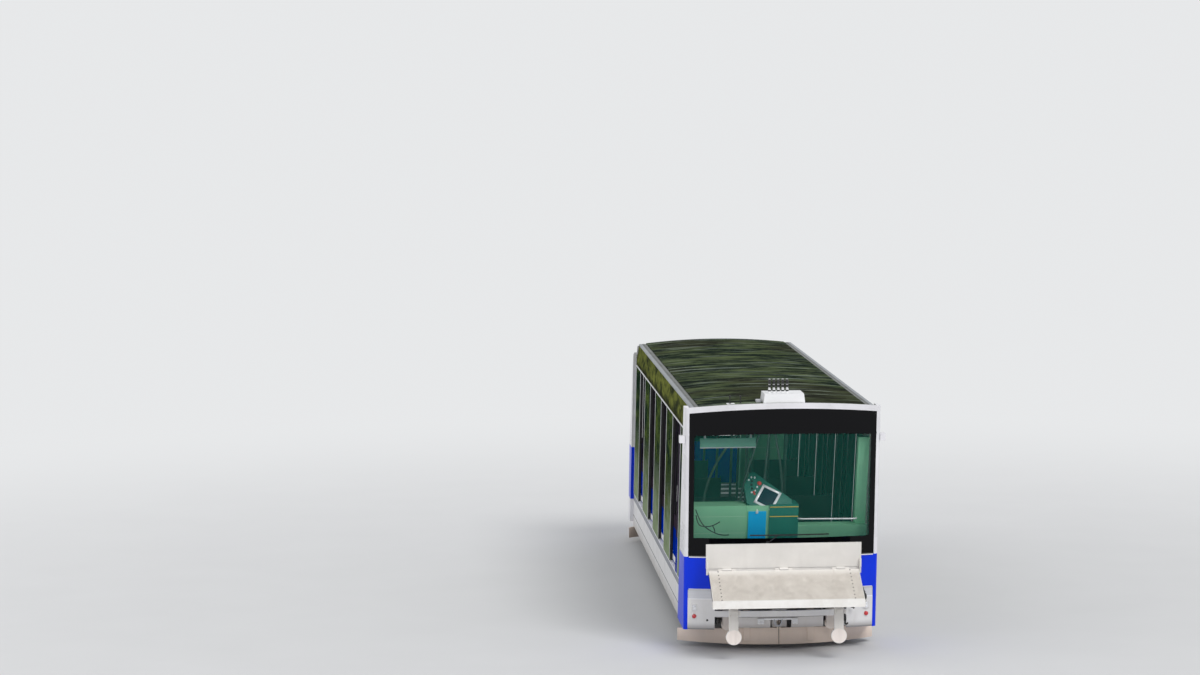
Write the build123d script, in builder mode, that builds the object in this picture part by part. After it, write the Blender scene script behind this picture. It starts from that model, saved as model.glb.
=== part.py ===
from build123d import *
import os
from collections import namedtuple
from math import cos, radians, sin, sqrt, tan

# Stepped funicular car, in millimetres. The frame is the track's own: X across the car, Y down the
# slope, Z square to the rails, with Z = 0 at the lowest point of the wheel flanges. The cabin's posts
# are plumb on the slope, so here they lean uphill, towards -Y, by the angle of the slope.
os.makedirs("parts", exist_ok=True)

# Ends of the body
slope_angle = 20.0
reference_level = 1800.0
end_half_width = 1200.0
end_bulge = 150.0
end_corner_radius = 45.0
cheek_thickness = 50.0
uphill_cheek_depth = 520.0
uphill_lean = 9.0
downhill_cheek_depth = 455.0
downhill_lower_lean = 16.0
downhill_upper_lean = 31.0
visor_lean = 49.0
visor_thickness = 40.0
visor_rim = 90.0

# Sides, by stations from the uphill cheek's rear edge at the reference level
side_setback = 50.0
first_door = 1100.0
door_width = 880.0
door_pitch = 1880.0
door_count = 4
last_window_length = 880.0
blank_panel_length = 280.0

# Levels above the flanges
header_top = 3100.0
header_height = 70.0
header_crown = 60.0
header_thickness = 30.0
roof_edge = 3070.0
gutter_level = 2770.0
uphill_belt = 1226.0
downhill_belt = 1480.0
apron_bottom = 811.0
apron_thickness = 40.0
corner_bottom = 294.0
sill_top = 740.0
floor_base = 700.0
plate_level = 660.0
strip_bottom = 400.0
skirt_bottom = 235.0

# Wall layers from the outside in: window skin, sliding leaves, inner posts
skin_thickness = 35.0
leaf_gap = 8.0
leaf_thickness = 34.0
post_depth = 65.0
post_width = 90.0
wall_seam = 2.0
strip_thickness = 65.0
skirt_thickness = 25.0
cantrail_taper = 25.0

# Door leaves and window glass
leaf_meeting_gap = 6.0
leaf_lap = 15.0
leaf_tongue = 25.0
leaf_pocket = 50.0
stile_width = 50.0
leaf_top_rail = 70.0
leaf_glass_thickness = 14.0
leaf_panel_top = 1400.0
glass_setback = 8.0
glass_thickness = 20.0

# Roof
roof_crown = 68.0
roof_glass_thickness = 22.0
roof_pane_count = 10
roof_joint = 12.0
roof_rail_width = 105.0
roof_rail_height = 25.0
roof_bar_depth = 45.0
roof_bar_width = 50.0
roof_box_half_width = 265.0
roof_box_top_half_width = 240.0
roof_box_length = 380.0
roof_box_top = 3270.0
aerial_count = 5
aerial_spacing = 54.0
aerial_shift = -60.0
aerial_radius = 13.0
aerial_height = 170.0
side_fixture_level = 2660.0
side_fixture_height = 90.0
side_fixture_length = 110.0
side_fixture_reach = 65.0

# Underframe and floor
plate_thickness = 20.0
beam_width = 90.0
beam_bottom = 520.0
beam_inset = 220.0
frame_setback = 60.0
floor_side_gap = 2.0
steps_per_pitch = 4

# Bogies and wheels
uphill_bogie_station = 1550.0
downhill_bogie_station = 7450.0
wheelbase = 1500.0
gauge = 1000.0
rail_head = 70.0
tread_radius = 250.0
flange_height = 20.0
flange_width = 24.0
flanged_tread_width = 82.0
roller_width = 190.0
wheel_dish = 35.0
wheel_rim = 45.0
hub_radius = 95.0
axle_radius = 55.0
journal_radius = 45.0
journal_clearance = 0.08
journal_shoulder = 10.0
journal_end_gap = 5.0
side_frame_gap = 60.0
side_frame_width = 70.0
side_frame_bottom = 350.0
side_frame_top = 470.0
axlebox_half_size = 95.0
transom_half_length = 190.0
transom_bottom = 400.0
transom_top = 560.0
pivot_radius = 80.0
pivot_clearance = 0.1
pivot_top = 610.0
bolster_gap = 0.5
bolster_half_length = 240.0
brake_half_length = 150.0
brake_half_width = 70.0
brake_bottom = 60.0
brake_top = 230.0
brake_slot_half_width = 40.0
brake_slot_top = 150.0
brake_hanger_half_length = 45.0
brake_hanger_half_width = 30.0

# Fittings of both ends
bumper_width = 331.0
bumper_thickness = 34.0
bumper_step = 6.0
bumper_crease = 690.0
bumper_top = 803.0
bumper_low_chamfer = 22.0
bumper_bracket_overlap = 60.0
bumper_bracket_inset = 10.0
centre_beam_bottom = 459.0
centre_beam_top = 536.0
centre_panel_half_width = 530.0
centre_panel_bottom = 318.0
centre_panel_inset = 28.0
centre_panel_thickness = 20.0
rope_gap_half_width = 130.0
rope_gap_top = 425.0
guard_overhang = 29.0
guard_setback = 94.0
guard_nose = 430.0
guard_thickness = 30.0
guard_bottom = 68.0
guard_edge_top = 221.0
guard_crown = 56.0
guard_arm_spacing = 400.0
guard_arm_width = 80.0
guard_arm_bottom = 110.0
guard_arm_top = 190.0
buffer_half_spacing = 646.0
buffer_radius = 74.0
buffer_head_thickness = 25.0
buffer_stem_radius = 38.0
buffer_bracket_half_width = 60.0
buffer_setback = 75.0
buffer_level = 330.0
lamp_inset = 80.0
lamp_radius = 26.0
lamp_half_width = 22.0
lamp_half_height = 34.0
lamp_seat = 16.0
lamp_depth = 12.0
red_lamp_level = 468.0
white_lamp_level = 580.0
anchor_half_width = 90.0
anchor_wall = 55.0
anchor_length = 300.0
anchor_level = 355.0
haul_rope_bore = 34.0
lower_rope_bore = 22.0

# Goods tray at the uphill end
board_inset = 195.0
board_drop = 111.0
board_height = 306.0
board_thickness = 30.0
board_gap = 120.0
bracket_spacing = 500.0
bracket_width = 60.0
bracket_rise = 15.0
bracket_height = 82.0
bracket_depth = 220.0
hinge_drop = 16.0
hinge_forward = 20.0
hinge_radius = 12.0
hinge_spacing = 700.0
knuckle_length = 100.0
knuckle_gap = 6.0
deck_lean_angle = 28.5
deck_clearance = 20.0
deck_depth = 590.0
deck_thickness = 45.0
deck_inset = 30.0
lip_height = 96.0
lip_thickness = 30.0
arm_spacing = 645.0
arm_width = 108.0
arm_depth = 60.0
arm_groove_width = 72.0
arm_groove_depth = 30.0
disc_setback = 260.0
disc_level = 312.0
disc_radius = 95.0
disc_thickness = 45.0
disc_overlap = 30.0

# Inside the cabin
console_station = -360.0
console_depth = 430.0
console_inner = 420.0
console_gap = 30.0
console_top = 1837.0
blue_box_inner = 170.0
blue_box_outer = 390.0
blue_box_depth = 220.0
blue_box_top = 1760.0
locker_left = -128.0
locker_right = 230.0
locker_top = 1842.0
ledge_top = 1571.0
ledge_depth = 260.0
pillar_width = 135.0
pillar_station = -240.0
pillar_depth = 130.0
pillar_top = 2690.0
rear_console_setback = 290.0
rear_console_top = 1700.0
seat_inner = 300.0
seat_gap = 25.0
seat_start = 12.0
seat_depth = 410.0
seat_height = 350.0
cushion_thickness = 80.0
seat_back_height = 520.0
seat_back_thickness = 60.0
pedestal_inset = 60.0
pedestal_length = 240.0
pole_radius = 18.0
pole_rail_radius = 22.0
pole_rail_gap = 1.0
pole_half_spacing = 250.0
pole_place = 220.0
pole_rail_setback = 700.0

slope = radians(slope_angle)
deck_lean = radians(deck_lean_angle)
side_half_width = end_half_width - side_setback
side_length = first_door + (door_count - 1) * door_pitch + door_width + last_window_length
rear_console_station = side_length - rear_console_setback
skin_inner = side_half_width - skin_thickness
leaf_outer = skin_inner - leaf_gap
leaf_inner = leaf_outer - leaf_thickness
post_outer = leaf_inner - leaf_gap
post_inner = post_outer - post_depth
cheek_inner = end_half_width - cheek_thickness
beam_half_spacing = side_half_width - beam_inset
bumper_inner = cheek_inner - bumper_width
lamp_half_spacing = cheek_inner - lamp_inset
board_half_width = cheek_inner - board_inset
deck_half_width = board_half_width - deck_inset
guard_half_width = end_half_width + guard_overhang
console_outer = skin_inner - console_gap
pillar_inner = console_outer - pillar_width
seat_outer = post_inner - seat_gap
rail_line = (gauge + rail_head) / 2
side_frame_inner = rail_line + roller_width / 2 + side_frame_gap
bogie_stations = (uphill_bogie_station, downhill_bogie_station)
board_bottom = uphill_belt - board_drop
board_top = board_bottom + board_height
bracket_bottom = board_bottom + bracket_rise
bracket_top = bracket_bottom + bracket_height
end_radius = (end_half_width**2 + end_bulge**2) / (2 * end_bulge)
axle_level = tread_radius + flange_height
plate_bottom = plate_level - plate_thickness
step_pitch = door_pitch / steps_per_pitch
tread = step_pitch * cos(slope)

# Seen from the side an end face is bent at its belt and again at the gutter
End = namedtuple("End", "name out cheek_station belt belt_station lower_lean upper_lean top_lean")
uphill = End(
    name="uphill",
    out=-1,
    cheek_station=0.0,
    belt=uphill_belt,
    belt_station=-uphill_cheek_depth + (reference_level - uphill_belt) * tan(radians(uphill_lean)),
    lower_lean=radians(uphill_lean),
    upper_lean=radians(uphill_lean),
    top_lean=radians(uphill_lean),
)
downhill = End(
    name="downhill",
    out=1,
    cheek_station=side_length,
    belt=downhill_belt,
    belt_station=side_length + downhill_cheek_depth + (reference_level - downhill_belt) * tan(slope),
    lower_lean=radians(downhill_lower_lean),
    upper_lean=radians(downhill_upper_lean),
    top_lean=radians(visor_lean),
)
ends = (uphill, downhill)

# A shallow arch across the car: half of its span, its rise and the level of its edges
Arch = namedtuple("Arch", "half_span rise level")
roof_arch = Arch(half_span=side_half_width, rise=roof_crown, level=roof_edge)
header_arch = Arch(half_span=cheek_inner, rise=header_crown, level=header_top)
guard_arch = Arch(half_span=guard_half_width, rise=guard_crown, level=guard_edge_top)


def face_lean(end, level):
    if level < end.belt:
        return end.lower_lean
    return end.upper_lean if level < gutter_level else end.top_lean


def face_station(end, level):
    """Station of an end face's corner line at this level."""
    if level <= end.belt:
        return end.belt_station + (end.belt - level) * tan(end.lower_lean)
    glazed = min(level, gutter_level) - end.belt
    above = max(level - gutter_level, 0.0)
    return end.belt_station - glazed * tan(end.upper_lean) - above * tan(end.top_lean)


# The origin is midway between the tray's tip and the middle of the downhill centre beam
hinge_level = board_bottom - hinge_drop
hinge_station = face_station(uphill, board_bottom) - end_bulge - board_gap - board_thickness - hinge_forward
tray_tip = hinge_station - (deck_clearance + deck_depth) * cos(deck_lean) - lip_thickness
beam_tip = face_station(downhill, centre_beam_bottom) + end_bulge
station_zero = -(tray_tip + beam_tip) / 2


def face_y(end, level):
    return station_zero + face_station(end, level)


def post_y(station, level):
    """Y of a plumb line that passes the reference level at this station."""
    return station_zero + station - (level - reference_level) * tan(slope)


def bow(across, inset):
    """How far an end face stands out of its corner line, at a distance across and set in by inset."""
    return sqrt((end_radius - inset) ** 2 - across**2) - (end_radius - end_bulge)


def arch_level(arch, across):
    radius = (arch.half_span**2 + arch.rise**2) / (2 * arch.rise)
    return arch.level + sqrt(radius**2 - across**2) - (radius - arch.rise)


def plumb(start, finish, low, high):
    """Side outline whose two ends are plumb."""
    return [
        (post_y(start, low), low),
        (post_y(finish, low), low),
        (post_y(finish, high), high),
        (post_y(start, high), high),
    ]


def on_tread(start, along, up):
    """Point at a level distance along a tread and plumb above it, from the tread's start in Y."""
    return (start + along * cos(slope) - up * sin(slope), floor_base + along * sin(slope) + up * cos(slope))


def level_box(start, along_from, along_to, low, high):
    """Side outline of a box that stands level on a tread."""
    return [
        on_tread(start, along_from, low),
        on_tread(start, along_to, low),
        on_tread(start, along_to, high),
        on_tread(start, along_from, high),
    ]


def slab(x_from, x_to, corners, mode=Mode.ADD):
    """Flat piece with an outline seen from the side, between two planes across the car."""
    with BuildSketch(Plane.YZ.offset(min(x_from, x_to))) as outline:
        with BuildLine():
            Polyline(*corners, close=True)
        make_face()
    extrude(outline.sketch, amount=abs(x_to - x_from), mode=mode)


def block(x_from, x_to, y_from, y_to, low, high, mode=Mode.ADD):
    """Square block between six planes."""
    slab(x_from, x_to, [(y_from, low), (y_to, low), (y_to, high), (y_from, high)], mode=mode)


def rod(x, level, y_from, y_to, radius, mode=Mode.ADD):
    """Round piece with its axis along the car."""
    with BuildSketch(Plane.XZ.offset(-max(y_from, y_to))) as round_face:
        with Locations((x, level)):
            Circle(radius)
    extrude(round_face.sketch, amount=abs(y_to - y_from), mode=mode)


def barrel(x_from, x_to, y, level, radius, mode=Mode.ADD):
    """Round piece with its axis across the car."""
    with BuildSketch(Plane.YZ.offset(min(x_from, x_to))) as round_face:
        with Locations((y, level)):
            Circle(radius)
    extrude(round_face.sketch, amount=abs(x_to - x_from), mode=mode)


def up_the_face(plan, end, low, high, mode=Mode.ADD):
    """Extrude a plan outline up a stretch of an end face, raked with it."""
    lean = face_lean(end, (low + high) / 2)
    extrude(plan, amount=(high - low) / cos(lean), dir=(0, -sin(lean), cos(lean)), mode=mode)


def end_band(end, low, high, half_width, inset, thickness, mode=Mode.ADD):
    """Curved band of an end face."""
    corner = face_y(end, low)
    outer = corner + end.out * bow(half_width, inset)
    inner = corner + end.out * bow(half_width, inset + thickness)
    outer_middle = corner + end.out * bow(0, inset)
    inner_middle = corner + end.out * bow(0, inset + thickness)
    with BuildSketch(Plane.XY.offset(low)) as plan:
        with BuildLine():
            ThreePointArc((-half_width, outer), (0, outer_middle), (half_width, outer))
            Line((half_width, outer), (half_width, inner))
            ThreePointArc((half_width, inner), (0, inner_middle), (-half_width, inner))
            Line((-half_width, inner), (-half_width, outer))
        make_face()
    up_the_face(plan.sketch, end, low, high, mode=mode)


def trim_to_face(end, low, high, inset):
    """Cut away what stands outside a surface set in from a stretch of an end face."""
    reach = end_half_width + end_bulge
    corner = face_y(end, low)
    edge = corner + end.out * bow(reach, inset)
    far = corner + end.out * 2 * reach
    with BuildSketch(Plane.XY.offset(low)) as plan:
        with BuildLine():
            ThreePointArc((-reach, edge), (0, corner + end.out * bow(0, inset)), (reach, edge))
            Polyline((reach, edge), (reach, far), (-reach, far), (-reach, edge))
        make_face()
    up_the_face(plan.sketch, end, low, high, mode=Mode.SUBTRACT)


def end_cheeks(end, low, high):
    """Both side cheeks of an end, with rounded outer corners and plumb inner edges."""
    corner = face_y(end, low)
    back = corner - end.out * 4 * uphill_cheek_depth
    with BuildSketch(Plane.XY.offset(low)) as plan:
        with BuildLine():
            tip = corner + end.out * end_bulge
            ThreePointArc((-end_half_width, corner), (0, tip), (end_half_width, corner))
            Polyline(
                (end_half_width, corner), (end_half_width, back), (-end_half_width, back), (-end_half_width, corner)
            )
        make_face()
        fillet(plan.vertices().group_by(Axis.Y)[0 if end.out < 0 else -1], end_corner_radius)
        with Locations((0, corner)):
            Rectangle(2 * cheek_inner, 10 * uphill_cheek_depth, mode=Mode.SUBTRACT)
    up_the_face(plan.sketch, end, low, high)
    inner_edge = Plane(
        origin=(0, post_y(end.cheek_station, reference_level), reference_level),
        x_dir=(1, 0, 0),
        z_dir=(0, end.out * cos(slope), end.out * sin(slope)),
    )
    split(bisect_by=inner_edge, keep=Keep.TOP)


def arched(arch, half_width, under, over, y_from, y_to, mode=Mode.ADD):
    """Layer between two heights over an arch, along a stretch of the car."""
    edge = arch_level(arch, half_width)
    middle = arch.level + arch.rise
    with BuildSketch(Plane.XZ.offset(-y_to)) as section:
        with BuildLine():
            ThreePointArc((-half_width, edge + under), (0, middle + under), (half_width, edge + under))
            Line((half_width, edge + under), (half_width, edge + over))
            ThreePointArc((half_width, edge + over), (0, middle + over), (-half_width, edge + over))
            Line((-half_width, edge + over), (-half_width, edge + under))
        make_face()
    extrude(section.sketch, amount=y_to - y_from, mode=mode)


def write(builder, name):
    builder.part.label = name
    export_step(builder.part, "parts/" + name + ".step")


sides = (-1, 1)
side_names = {-1: "left", 1: "right"}
door_starts = [first_door + index * door_pitch for index in range(door_count)]
frame_start = face_y(uphill, beam_bottom) + frame_setback
frame_finish = face_y(downhill, beam_bottom) - frame_setback
frame_edges = {"uphill": frame_start, "downhill": frame_finish}
car_start = face_y(uphill, header_top) - 2 * end_bulge
car_finish = face_y(downhill, corner_bottom) + 2 * end_bulge
roof_high = roof_box_top

# Underframe: a floor plate on two long beams, with bolsters over the bogies
with BuildPart() as underframe:
    plate_half_width = side_half_width - strip_thickness
    block(-plate_half_width, plate_half_width, frame_start, frame_finish, plate_bottom, plate_level)
    for side in sides:
        inner = side * beam_half_spacing
        block(inner, inner + side * beam_width, frame_start, frame_finish, beam_bottom, plate_bottom)
    for beam_y in (frame_start, frame_finish - beam_width):
        block(-beam_half_spacing, beam_half_spacing, beam_y, beam_y + beam_width, beam_bottom, plate_bottom)
    for station in bogie_stations:
        middle = station_zero + station
        bolster_bottom = transom_top + bolster_gap
        block(-beam_half_spacing, beam_half_spacing, middle - bolster_half_length,
              middle + bolster_half_length, bolster_bottom, plate_bottom)
        with Locations((0, middle, bolster_bottom)):
            Cylinder(
                pivot_radius + pivot_clearance,
                pivot_top - transom_top + bolster_gap,
                align=(Align.CENTER, Align.CENTER, Align.MIN),
                mode=Mode.SUBTRACT,
            )
write(underframe, "underframe")

# Rope anchors: the haul rope's socket is uphill, the lower rope's is downhill
anchors = (("haul_rope_anchor", uphill, haul_rope_bore), ("lower_rope_anchor", downhill, lower_rope_bore))
for name, end, bore_radius in anchors:
    near = frame_edges[end.name]
    far = near - end.out * anchor_length
    with BuildPart() as anchor:
        block(-anchor_half_width, anchor_half_width, min(near, far), max(near, far),
              anchor_level - anchor_wall, beam_bottom)
        rod(0, anchor_level, near, far, bore_radius, mode=Mode.SUBTRACT)
    write(anchor, name)

# Floor: treads are level on the slope, risers are plumb, and a riser stands at each door's uphill edge
floor_origin = post_y(first_door, floor_base) - steps_per_pitch * step_pitch
step_total = int((car_finish - floor_origin) // step_pitch)
floor_profile = [(floor_origin, plate_level)]
for index in range(step_total):
    floor_profile.append(on_tread(floor_origin + index * step_pitch, 0, 0))
    floor_profile.append(on_tread(floor_origin + index * step_pitch, tread, 0))
floor_profile.append((floor_origin + step_total * step_pitch, floor_base))
floor_profile.append((floor_origin + step_total * step_pitch, plate_level))
floor_half_width = post_inner - floor_side_gap
with BuildPart() as stepped_floor:
    slab(-cheek_inner, cheek_inner, floor_profile)
    for side in sides:
        slab(side * floor_half_width, side * end_half_width,
             plumb(0, side_length, beam_bottom, uphill_belt), mode=Mode.SUBTRACT)
    for end in ends:
        trim_to_face(end, beam_bottom, end.belt, apron_thickness)
write(stepped_floor, "stepped_floor")

# Lower side: sill with the grey strip below it, then the silver skirt
with BuildPart() as sills:
    for side in sides:
        slab(side * post_inner, side * side_half_width, plumb(0, side_length, plate_level, sill_top))
        slab(side * plate_half_width, side * side_half_width,
             plumb(0, side_length, strip_bottom, plate_level))
write(sills, "sills")

with BuildPart() as skirts:
    for side in sides:
        slab(side * (side_half_width - skirt_thickness), side * side_half_width,
             plumb(0, side_length, skirt_bottom, strip_bottom))
write(skirts, "skirts")

# Cantrails: a channel over each side, open below for the tops of the leaves
pocket_top = gutter_level + leaf_pocket
roof_outer = side_half_width - cantrail_taper
with BuildPart() as cantrails:
    for side in sides:
        with BuildSketch(Plane.XZ.offset(-car_finish)) as section:
            with BuildLine():
                Polyline(
                    (side * post_inner, gutter_level),
                    (side * post_outer, gutter_level),
                    (side * post_outer, pocket_top),
                    (side * skin_inner, pocket_top),
                    (side * skin_inner, gutter_level),
                    (side * side_half_width, gutter_level),
                    (side * roof_outer, roof_edge),
                    (side * post_inner, roof_edge),
                    close=True,
                )
            make_face()
        extrude(section.sketch, amount=car_finish - car_start)
    trim_to_face(uphill, gutter_level, roof_high, header_thickness)
    trim_to_face(downhill, gutter_level, roof_high, visor_thickness)
write(cantrails, "cantrails")

# Inner posts at the door jambs
with BuildPart() as door_posts:
    for side in sides:
        for start in door_starts:
            for station in (start - post_width, start + door_width):
                slab(side * post_inner, side * post_outer,
                     plumb(station, station + post_width, sill_top, gutter_level))
write(door_posts, "door_posts")

# Fixed windows between the doors, with a blank panel before the first door
window_bays = [(0.0, first_door - blank_panel_length)]
window_bays += [(start + door_width, start + door_pitch) for start in door_starts[:-1]]
window_bays.append((door_starts[-1] + door_width, side_length))
with BuildPart() as side_windows:
    for side in sides:
        for start, finish in window_bays:
            slab(side * skin_inner, side * side_half_width,
                 plumb(start + wall_seam, finish - wall_seam, sill_top, gutter_level))
write(side_windows, "side_windows")

with BuildPart() as blank_panels:
    for side in sides:
        slab(side * skin_inner, side * side_half_width,
             plumb(first_door - blank_panel_length, first_door, sill_top, gutter_level))
write(blank_panels, "blank_panels")

# Door leaves: on each side one set slides uphill and one downhill
leaf_low = sill_top + leaf_gap
leaf_high = gutter_level + leaf_tongue
pane_high = gutter_level - leaf_top_rail
leaf_middle = (leaf_inner + leaf_outer) / 2
LeafSet = namedtuple("LeafSet", "name near far")
leaf_sets = (
    LeafSet("uphill", near=-leaf_lap, far=(door_width - leaf_meeting_gap) / 2),
    LeafSet("downhill", near=(door_width + leaf_meeting_gap) / 2, far=door_width + leaf_lap),
)
for side in sides:
    for leaf_set in leaf_sets:
        with BuildPart() as leaves:
            for start in door_starts:
                slab(side * leaf_inner, side * leaf_outer,
                     plumb(start + leaf_set.near, start + leaf_set.far, leaf_low, leaf_high))
                slab(side * leaf_inner, side * leaf_outer,
                     plumb(start + leaf_set.near + stile_width, start + leaf_set.far - stile_width,
                           leaf_panel_top, pane_high), mode=Mode.SUBTRACT)
        write(leaves, side_names[side] + "_leaves_" + leaf_set.name)
        with BuildPart() as panes:
            for start in door_starts:
                slab(side * (leaf_middle - leaf_glass_thickness / 2),
                     side * (leaf_middle + leaf_glass_thickness / 2),
                     plumb(start + leaf_set.near + stile_width, start + leaf_set.far - stile_width,
                           leaf_panel_top, pane_high))
        write(panes, side_names[side] + "_leaf_glass_" + leaf_set.name)

# Roof: arched panes on cross bars, between two side rails
roof_start = face_y(uphill, roof_edge)
roof_finish = face_y(downhill, roof_edge)
pane_length = (roof_finish - roof_start) / roof_pane_count
rail_inner = roof_outer - roof_rail_width
with BuildPart() as roof_frame:
    for side in sides:
        block(side * rail_inner, side * roof_outer, car_start, car_finish,
              roof_edge, roof_edge + roof_rail_height)
    trim_to_face(uphill, gutter_level, roof_high, header_thickness)
    trim_to_face(downhill, gutter_level, roof_high, 0)
    for index in range(1, roof_pane_count):
        middle = roof_start + index * pane_length
        arched(roof_arch, post_inner, -roof_bar_depth, 0, middle - roof_bar_width / 2,
               middle + roof_bar_width / 2)
write(roof_frame, "roof_frame")

with BuildPart() as roof_glass:
    arched(roof_arch, rail_inner, 0, roof_glass_thickness, car_start, car_finish)
    for index in range(1, roof_pane_count):
        middle = roof_start + index * pane_length
        block(-end_half_width, end_half_width, middle - roof_joint / 2, middle + roof_joint / 2,
              roof_edge, roof_high, mode=Mode.SUBTRACT)
    trim_to_face(uphill, gutter_level, roof_high, header_thickness)
    trim_to_face(downhill, gutter_level, roof_high, 0)
write(roof_glass, "roof_glass")

# A white box behind the uphill header, with a row of short aerials on top
box_start = face_y(uphill, header_top) - bow(roof_box_half_width, header_thickness)
with BuildPart() as roof_box:
    with BuildSketch(Plane.XZ.offset(-box_start - roof_box_length)) as section:
        with BuildLine():
            Polyline(
                (-roof_box_half_width, roof_edge),
                (roof_box_half_width, roof_edge),
                (roof_box_top_half_width, roof_box_top),
                (-roof_box_top_half_width, roof_box_top),
                close=True,
            )
        make_face()
    extrude(section.sketch, amount=roof_box_length)
    arched(roof_arch, roof_box_half_width, -roof_crown, roof_glass_thickness, car_start, car_finish,
           mode=Mode.SUBTRACT)
    aerial_y = box_start + roof_box_length / 3
    for index in range(aerial_count):
        aerial_x = aerial_shift + (index - (aerial_count - 1) / 2) * aerial_spacing
        with Locations((aerial_x, aerial_y, roof_box_top)):
            Cylinder(aerial_radius, aerial_height, align=(Align.CENTER, Align.CENTER, Align.MIN))
write(roof_box, "roof_box")

# Visor: the glazed slope between the downhill windscreen and the roof
visor_high = roof_edge - visor_rim / 2
with BuildPart() as visor:
    end_band(downhill, gutter_level, roof_high, cheek_inner, 0, visor_thickness)
    arched(roof_arch, cheek_inner, -roof_edge, 0, car_start, car_finish, mode=Mode.INTERSECT)
    for side in sides:
        block(side * rail_inner, side * end_half_width, car_start, car_finish, roof_edge, roof_high,
              mode=Mode.SUBTRACT)
    block(visor_rim - cheek_inner, cheek_inner - visor_rim, face_y(downhill, roof_high),
          car_finish, gutter_level + visor_rim / 2, visor_high, mode=Mode.SUBTRACT)
write(visor, "visor")

with BuildPart() as visor_glass:
    end_band(downhill, gutter_level + visor_rim / 2, visor_high, cheek_inner - visor_rim,
             glass_setback, glass_thickness)
write(visor_glass, "visor_glass")

# Uphill end frame: cheeks with small fixtures outside, and an arched header
fixture_y = face_y(uphill, side_fixture_level)
with BuildPart() as uphill_end_frame:
    end_band(uphill, header_top - header_height, header_top + header_crown, cheek_inner, 0, header_thickness)
    arched(header_arch, cheek_inner, -header_height, 0, car_start, car_finish, mode=Mode.INTERSECT)
    end_cheeks(uphill, uphill_belt, header_top)
    for side in sides:
        block(side * end_half_width, side * (end_half_width + side_fixture_reach), fixture_y,
              fixture_y + side_fixture_length, side_fixture_level, side_fixture_level + side_fixture_height)
write(uphill_end_frame, "uphill_end_frame")

with BuildPart() as uphill_windscreen:
    end_band(uphill, uphill_belt, header_top, cheek_inner, glass_setback, glass_thickness)
    arched(header_arch, cheek_inner, -header_top, -header_height, car_start, car_finish, mode=Mode.INTERSECT)
write(uphill_windscreen, "uphill_windscreen")

# Downhill end frame: the cheeks close to a point beside the visor
cheek_gap = face_y(downhill, gutter_level) - post_y(side_length, gutter_level)
cheek_tip = gutter_level + cheek_gap / (tan(downhill.top_lean) - tan(slope))
with BuildPart() as downhill_end_frame:
    end_cheeks(downhill, downhill_belt, gutter_level)
    end_cheeks(downhill, gutter_level, cheek_tip)
    end_band(downhill, gutter_level - header_height, gutter_level, cheek_inner, 0, header_thickness)
write(downhill_end_frame, "downhill_end_frame")

with BuildPart() as downhill_windscreen:
    end_band(downhill, downhill_belt, gutter_level - header_height, cheek_inner, glass_setback, glass_thickness)
write(downhill_windscreen, "downhill_windscreen")

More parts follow.
